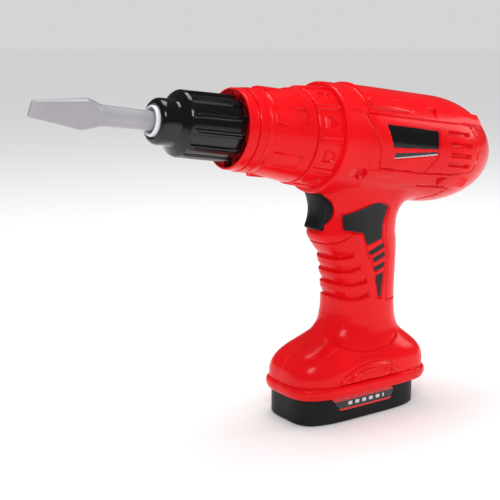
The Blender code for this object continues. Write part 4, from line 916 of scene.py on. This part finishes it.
class BuildBarrel(bpy.types.Operator):
    """Build the two barrel halves with their collar, panels, vents and ridges"""
    bl_idname = "drill.barrel"
    bl_label = "Barrel halves"

    def execute(self, context):
        for hand, side in SIDES.items():
            mesh = half_shell(f"barrel_{hand}", *barrel_half(side))
            if hand == "right":
                for n, (u, w) in enumerate(BARREL_SCREWS):
                    mesh = cut(mesh, f"barrel_screw_{n}", screw_well(*world_xz(u, w)))
            piece(f"barrel_shell_{hand}", mesh, look("red_shell"), "root", "red_shell", f"housing_{hand}")
        return {"FINISHED"}


class BuildHandle(bpy.types.Operator):
    """Build the two handle halves with the foot, finger grooves and trigger opening"""
    bl_idname = "drill.handle"
    bl_label = "Handle halves"

    def execute(self, context):
        low, high = node_box("trigger")
        opening = block_rings((low[0] - OPENING_FRONT, -OPENING_HALF, low[2] - OPENING_GAP),
                              (OPENING_REAR, OPENING_HALF, high[2] + OPENING_GAP))
        cheeks = prism_round(CHEEK_X, (low[2] + high[2]) / 2.0, -CHEEK_HALF, CHEEK_HALF, CHEEK_R, 72)
        cheeks[..., 2] = (cheeks[..., 2] - CHEEK_Z) * CHEEK_SQUASH + CHEEK_Z
        for hand, side in SIDES.items():
            mesh = half_shell(f"handle_{hand}", *handle_half(side))
            mesh = cut(mesh, f"opening_{hand}", opening)
            mesh = cut(mesh, f"cheeks_{hand}", cheeks)
            if hand == "right":
                for n, (x, z) in enumerate(HANDLE_SCREWS):
                    mesh = cut(mesh, f"handle_screw_{n}", screw_well(x, z))
            piece(f"handle_shell_{hand}", mesh, look("red_shell"), "root", "red_shell", f"housing_{hand}")
        return {"FINISHED"}


SLEEVE = ((-61.5, 6.9), (-61.5, 9.7), (-60.5, 9.95), (-60.1, 10.6), (-58.5, 13.0), (-58.3, 13.35),
          (-57.7, 13.75), (-57.3, 13.9), (-24.7, 14.55), (-24.3, 14.45), (-24.0, 14.1), (-24.0, 6.9),
          (-61.5, 6.9))
FLUTES = 12
NOSE = ((-60.0, 6.55), (-67.6, 6.55), (-68.7, 6.6), (-69.0, 6.9), (-69.1, 7.3), (-69.0, 7.9), (-68.7, 8.5),
        (-68.2, 9.0), (-67.5, 9.4), (-66.6, 9.6), (-62.9, 9.7), (-61.0, 9.7), (-60.0, 9.0), (-60.0, 6.55))
RING = ((-46.0, 4.4), (-66.0, 4.4), (-66.4, 5.1), (-69.6, 5.1), (-70.15, 5.25), (-70.4, 5.5),
        (-70.4, 5.95), (-70.1, 6.25), (-69.3, 6.45), (-46.0, 6.45), (-46.0, 4.4))


def sleeve_relief(u, r, angle):
    """Twelve broad flats sunk between narrow raised ribs, each rib split by a fine line."""
    between = wrapped(angle, math.radians(5.0), FLUTES) * r
    flat = np.maximum(np.abs(between) - 2.45, -56.9 - u)
    on_rib = wrapped(angle, math.radians(20.0), FLUTES) * r
    body = (r > 12.6) & (u > -57.3) & (u < -24.1)
    return -(0.85 * within(flat, 0.3) + 0.35 * line(on_rib, 0.3) * (u > -55.0)) * body


class BuildChuck(bpy.types.Operator):
    """Build the chuck sleeve, its nose and the light ring round the socket"""
    bl_idname = "drill.chuck"
    bl_label = "Chuck"

    def execute(self, context):
        sleeve = turned("sleeve", refine(SLEEVE, 0.8), sleeve_relief, columns=288, sharp=22.0)
        piece("chuck_sleeve_piece", sleeve, look("black_gloss"), "chuck", "black_gloss", "chuck_sleeve")
        nose = turned("nose", refine(NOSE, 0.9), sharp=26.0)
        piece("chuck_nose", nose, look("black_gloss"), "chuck", "black_gloss", "chuck_body")
        ring = turned("ring", refine(RING, 0.8))
        piece("light_ring", ring, look("light_ring"), "chuck", "light_ring", "bit_socket")
        return {"FINISHED"}


BIT_ROLL, BIT_COLUMNS = math.radians(29.0), 96
# place along the axis, half width, half thickness and squareness
BIT_STATIONS = np.array((
    (-121.0, 3.2, 0.66, 6.0), (-120.9, 3.45, 0.74, 6.0), (-120.6, 3.6, 0.82, 6.0),
    (-119.6, 3.65, 0.92, 6.0), (-109.0, 5.05, 1.6, 5.5), (-99.6, 6.55, 2.3, 5.0), (-98.6, 6.5, 2.5, 4.8),
    (-93.6, 4.75, 4.1, 2.4), (-92.8, 4.5, 4.2, 2.1), (-90.4, 4.3, 4.25, 2.0), (-76.0, 4.05, 4.05, 2.0),
    (-48.0, 3.95, 3.95, 2.0)))


class BuildBit(bpy.types.Operator):
    """Build the flat screwdriver blade with its faceted neck and round shank"""
    bl_idname = "drill.bit"
    bl_label = "Screwdriver bit"

    def execute(self, context):
        u = np.union1d(BIT_STATIONS[:, 0], np.linspace(-119.0, -49.0, 70))
        a, b, n = (np.interp(u, BIT_STATIONS[:, 0], BIT_STATIONS[:, k])[:, None] for k in (1, 2, 3))
        turn = turns(BIT_COLUMNS)[None, :]
        p, q = a * squarer(np.cos(turn), n), b * squarer(np.sin(turn), n)
        sine, cosine = math.sin(BIT_ROLL), math.cos(BIT_ROLL)
        rings = barrel_to_world(columns_of(u, BIT_COLUMNS), -p * sine + q * cosine, p * cosine + q * sine)
        mesh = closed_skin("blade", capped(rings), 16.0)
        piece("blade_and_shank", mesh, look("grey_bit"), "bit", "grey_bit", "screwdriver_bit")
        return {"FINISHED"}


TRIGGER_HALF, TRIGGER_REAR = 5.2, -2.6
DISH, LIP, LIP_SHARE, BOW = 2.6, 2.3, 0.09, 2.2
FLARE, FLARE_HALF = 2.0, 8.2
# place along the trigger's side, and the share of the flare there
TRIGGER_SIDE = np.array(((-17.5, 0.12), (-15.5, 0.6), (-13.9, 1.0), (-12.5, 1.0), (-12.3, 0.0),
                         (TRIGGER_REAR, 0.0)))
FLANGE_LOW, FLANGE_HIGH = (-2.4, -8.0), (-0.4, 8.0)


class BuildTrigger(bpy.types.Operator):
    """Build the dished trigger with its rounded lips and hidden flange"""
    bl_idname = "drill.trigger"
    bl_label = "Trigger"

    def execute(self, context):
        low, high = node_box("trigger")
        z = np.linspace(low[2], high[2], 60)
        share = (z - low[2]) / (high[2] - low[2])
        dish = DISH * np.sin(math.pi * np.clip(share * 1.02 - 0.01, 0.0, 1.0)) ** 0.8
        near_end = (1.0 - np.minimum(share, 1.0 - share) / LIP_SHARE).clip(0.0)
        lip = LIP * (1.0 - np.sqrt(np.clip(1.0 - near_end ** 2, 0.0, 1.0)))
        front = low[0] + dish + lip
        turn = np.linspace(-math.pi / 2.0, math.pi / 2.0, 25)
        x = front[:, None] + BOW * (1.0 - np.cos(turn) ** 0.75)[None, :]
        y = np.repeat((TRIGGER_HALF * np.sign(turn) * np.abs(np.sin(turn)) ** 0.8)[None, :], len(z), axis=0)
        flare = FLARE * np.sqrt(np.clip(1.0 - ((z - z.mean()) / FLARE_HALF) ** 2, 0.0, 1.0))[:, None]
        along, share = TRIGGER_SIDE[:, 0], TRIGGER_SIDE[:, 1]
        across = TRIGGER_HALF + flare * share[None, :]
        x = np.hstack((x, *(np.repeat(row[None, :], len(z), axis=0) for row in (along, along[::-1]))))
        y = np.hstack((y, across, -across[:, ::-1]))
        rings = np.stack((x, y, columns_of(z, x.shape[1])), axis=-1)
        mesh = closed_skin("trigger", capped(rings), 40.0)
        piece("trigger_blade", mesh, look("black_satin"), "trigger", "black_satin", "trigger")
        flange = closed_skin("flange", block_rings((*FLANGE_LOW, low[2]), (*FLANGE_HIGH, high[2])), 30.0)
        soften(piece("trigger_flange", flange, look("black_satin"), "trigger", "black_satin", "trigger"), 0.3)
        return {"FINISHED"}


SPRING_TURNS, SPRING_TRAVEL, WIRE_R, WIRE_COLUMNS = 5.5, 4.0, 0.3, 14


class BuildSpring(bpy.types.Operator):
    """Build the trigger's return spring: a circle carried along a helix"""
    bl_idname = "drill.spring"
    bl_label = "Trigger spring"

    def execute(self, context):
        low, high = node_box("trigger_spring")
        middle, reach = (low + high) / 2.0, high[1] - WIRE_R
        along = np.linspace(0.0, 1.0, 180)[:, None]
        round_wire = turns(WIRE_COLUMNS)[None, :]
        turn = along * SPRING_TURNS * 2.0 * math.pi
        r = reach + WIRE_R * np.cos(round_wire)
        length = high[0] - low[0] - 2.0 * WIRE_R
        x = low[0] + WIRE_R + length * along + WIRE_R * np.sin(round_wire)
        rings = np.stack((x, middle[1] + r * np.cos(turn), middle[2] + r * np.sin(turn)), axis=-1)
        mesh = closed_skin("spring", capped(rings), 50.0)
        thing = piece("return_spring", mesh, look("steel"), "trigger", "steel", "trigger_spring")
        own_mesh(thing)
        return {"FINISHED"}


CASE_PANEL = ((-24.6, 12.6), (-21.8, 12.6), (-16.8, 5.0), (-17.2, 3.4), (-18.4, 2.4), (-25.4, 2.4),
              (-26.6, 3.4), (-26.6, 11.0))
LABEL = ((-20.5, 12.3), (14.5, 12.3), (16.8, 10.2), (14.6, 5.8), (-15.6, 5.8))
CASE_TOP, CASE_COLUMNS = 12.7, 288
PANEL_PROUD, LABEL_BED = 0.25, 0.35
SIDE_SHARE = 0.8                    # share of the half width past which a point is on the case's side
CASE_SQUARE = (3.9, 4.6)            # squareness of the front and of the rear
# height, and how far the case's side stands in or out there
CASE_STATIONS = [(0.0, -2.6), (0.0, -1.1), (0.25, -0.45), (0.7, -0.1), (1.3, 0.0), (CASE_TOP, 0.0),
                 (CASE_TOP, -3.0)]
# shares of the outline and heights down the inside
CASE_INSIDE = ((-1, 0.88, CASE_TOP), (-1, 0.88, 3.0), (0, 0.9, 0.6))


class BuildBattery(bpy.types.Operator):
    """Build the battery base: a rounded case with a bowed front and a raised panel on each side"""
    bl_idname = "drill.battery"
    bl_label = "Battery base"

    def execute(self, context):
        half_x, half_y, _ = node_box("battery_case")[1]
        turn = turns(CASE_COLUMNS)
        c, s = np.cos(turn), np.sin(turn)
        power = np.where(c < 0.0, *CASE_SQUARE)
        rings = []
        for z, out in refine(CASE_STATIONS, 0.6):
            x, y = (half_x + out) * squarer(c, power), (half_y + out) * squarer(s, power)
            rise = np.full_like(x, z)
            side = (np.abs(y) > half_y * SIDE_SHARE) * (out > -0.01)
            panel, label = signed(CASE_PANEL, x, rise), signed(LABEL, x, rise) - 0.2
            push = PANEL_PROUD * within(panel, 0.5) * side - LABEL_BED * within(label, 0.3) * side
            rings.append(np.stack((x, y + np.sign(s) * push, rise), axis=-1))
        rings = np.stack(rings)
        inner = [np.stack((rings[k][:, 0] * share, rings[k][:, 1] * share, np.full(CASE_COLUMNS, z)), axis=-1)
                 for k, share, z in CASE_INSIDE]
        loop = np.concatenate((rings, np.stack(inner), rings[:1]))
        mesh = closed_skin("case", loop, 35.0)
        piece("battery_base", mesh, look("black_satin"), "root", "black_satin", "battery_case")
        return {"FINISHED"}


def case_flank(side):
    """Skin function of the battery case's side: y is the case's superellipse at x."""
    half_x, half_y, _ = node_box("battery_case")[1]

    def skin(x, z, out):
        power = np.where(x < 0.0, *CASE_SQUARE)
        return np.stack((x, side * oval_half(x, 0.0, half_x, half_y + out, power), z), axis=-1)

    return skin


class BuildTrim(bpy.types.Operator):
    """Build the badges, stripes, handle inlays and battery labels on both sides"""
    bl_idname = "drill.trim"
    bl_label = "Badges, inlays and labels"

    def execute(self, context):
        for hand, side in SIDES.items():
            barrel, handle, case = barrel_flank(side), handle_flank(side), case_flank(side)
            rows = (
                ("badge", BADGE, barrel, -0.5, "black_gloss", "black_gloss", "side_badge"),
                ("stripe", STRIPE, barrel, -0.4, "black_gloss", "black_gloss", "accent_stripe"),
                ("stripe_edge", STRIPE_EDGE, barrel, -0.4, "silver", "black_gloss", "accent_stripe"),
                ("inlay", INLAY, handle, -0.15, "inlay", "black_satin", "grip_inlay"),
                *((bar, outline, handle, -0.15, "inlay", "black_satin", "grip_inlay")
                  for bar, outline in BARS.items()),
                ("label", LABEL, case, -0.1, "label", "black_gloss", "battery_label"),
            )
            for name, outline, skin, out, finish, slot, node in rows:
                mesh = flank_plate(f"{name}_{hand}", outline, skin, out, 0.5)
                if (name, hand) == ("tip", "right"):
                    mesh = cut(mesh, "tip_screw", screw_well(*HANDLE_SCREWS[0]))
                piece(f"{name}_plate_{hand}", mesh, look(finish), "root", slot, f"{node}_{hand}")
        return {"FINISHED"}


class FinishInside(bpy.types.Operator):
    """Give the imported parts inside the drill, its screws and its wires their finishes"""
    bl_idname = "drill.inside"
    bl_label = "Inner parts and screws"

    def execute(self, context):
        for row in frame["record"]["subparts"]:
            mesh = frame["nodes"][row["node"]].data
            mesh.materials.clear()
            mesh.materials.append(look(row["material_slot"]))
        return {"FINISHED"}


# ------------------------------------------------------------------ stage

FLOOR_REACH = 40.0                  # metres, so that its far edge is the horizon
LIT = (-0.03, 0.0, 0.08)            # the point that the lights face
LIGHTS = (("key", (-0.55, -0.70, 0.85), 0.35, 3.5), ("top", (0.05, 0.15, 0.95), 0.5, 3.8),
          ("rear_fill", (0.75, -0.25, 0.45), 0.35, 1.5))
LOOKED_AT = Vector((-0.0536, 0.0, 0.0829))


def soft_light(name, place, aim, size, power):
    """A square soft light that faces a point."""
    data = bpy.data.lights.new(name, "AREA")
    data.shape = "SQUARE"
    data.size = size
    data.energy = power
    lamp = bpy.data.objects.new(name, data)
    lamp.location = place
    lamp.rotation_euler = (Vector(aim) - Vector(place)).to_track_quat("-Z", "Y").to_euler()
    bpy.context.scene.collection.objects.link(lamp)


def lay_floor(scene):
    """A pale floor that only scatters light."""
    floor = bpy.data.meshes.new("floor")
    corners = [(x * FLOOR_REACH, y * FLOOR_REACH, 0.0) for x, y in ((-1, -1), (1, -1), (1, 1), (-1, 1))]
    floor.from_pydata(corners, [], [(0, 1, 2, 3)])
    finish = Finish("pale_floor", Roughness=1.0, Specular_IOR_Level=0.0)
    finish.feed("Base Color", finish.blend(finish.noise(4.0, 2.0), (0.95, 0.95, 0.95), (0.97, 0.97, 0.97)))
    floor.materials.append(finish.look)
    ground = bpy.data.objects.new("floor", floor)
    scene.collection.objects.link(ground)


def white_surround(scene, strength, reflected):
    """An even white surround, dimmer for gloss."""
    world = bpy.data.worlds.new("studio")
    world.use_nodes = True
    tree = world.node_tree
    background = tree.nodes["Background"]
    background.inputs["Color"].default_value = (1.0, 1.0, 1.0, 1.0)
    ray = tree.nodes.new("ShaderNodeLightPath")
    level = tree.nodes.new("ShaderNodeMapRange")
    level.inputs["To Min"].default_value = strength
    level.inputs["To Max"].default_value = strength * reflected
    tree.links.new(ray.outputs["Is Glossy Ray"], level.inputs["Value"])
    tree.links.new(level.outputs["Result"], background.inputs["Strength"])
    scene.world = world


def set_camera(scene, stage):
    """A camera that looks at one point from an azimuth, elevation and distance."""
    data = bpy.data.cameras.new("camera")
    data.lens = stage.lens
    data.sensor_width = 36.0
    data.clip_start, data.clip_end = 0.01, 20.0
    camera = bpy.data.objects.new("camera", data)
    a, e = stage.azimuth, stage.elevation
    back = Vector((math.sin(a) * math.cos(e), -math.cos(a) * math.cos(e), math.sin(e)))
    camera.location = LOOKED_AT + back * stage.distance
    camera.rotation_euler = (-back).to_track_quat("-Z", "Y").to_euler()
    scene.collection.objects.link(camera)
    bpy.context.scene.camera = camera


class SetStage(bpy.types.Operator):
    """Set the floor, the surround, the lights and the camera"""
    bl_idname = "drill.stage"
    bl_label = "Stage"

    def execute(self, context):
        scene, stage = context.scene, context.scene.drill_stage
        lay_floor(scene)
        white_surround(scene, stage.surround, stage.reflected)
        scene.view_settings.view_transform = "Standard"
        for name, place, size, power in LIGHTS:
            soft_light(name, place, LIT, size, power)
        set_camera(scene, stage)
        return {"FINISHED"}


class DrillPanel(bpy.types.Panel):
    """Sizes, colours and building steps of the toy drill"""
    bl_idname = "VIEW3D_PT_toy_drill"
    bl_label = "Toy drill"
    bl_space_type = "VIEW_3D"
    bl_region_type = "UI"
    bl_category = "Toy Drill"

    def draw(self, context):
        for group in (context.scene.drill_shell, context.scene.drill_colours, context.scene.drill_stage):
            for name in group.__annotations__:
                self.layout.prop(group, name)
        for step in STEPS:
            self.layout.operator(step.bl_idname)


STEPS = (BuildBarrel, BuildHandle, BuildChuck, BuildBit, BuildTrigger, BuildSpring, BuildBattery, BuildTrim,
         FinishInside, SetStage)
GROUPS = {"drill_shell": DrillShellSettings, "drill_colours": DrillColourSettings,
          "drill_stage": DrillStageSettings}


def register():
    """Add the settings, steps and panel to Blender."""
    for kind in (*GROUPS.values(), *STEPS, DrillPanel):
        bpy.utils.register_class(kind)
    for name, kind in GROUPS.items():
        setattr(bpy.types.Scene, name, PointerProperty(type=kind))


def unregister():
    """Take them out again."""
    for name in GROUPS:
        delattr(bpy.types.Scene, name)
    for kind in (DrillPanel, *reversed(STEPS), *GROUPS.values()):
        bpy.utils.unregister_class(kind)


def main():
    """Run every step in order."""
    register()
    for step in STEPS:
        family, name = step.bl_idname.split(".")
        getattr(getattr(bpy.ops, family), name)()
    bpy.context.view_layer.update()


if __name__ == "__main__":
    main()
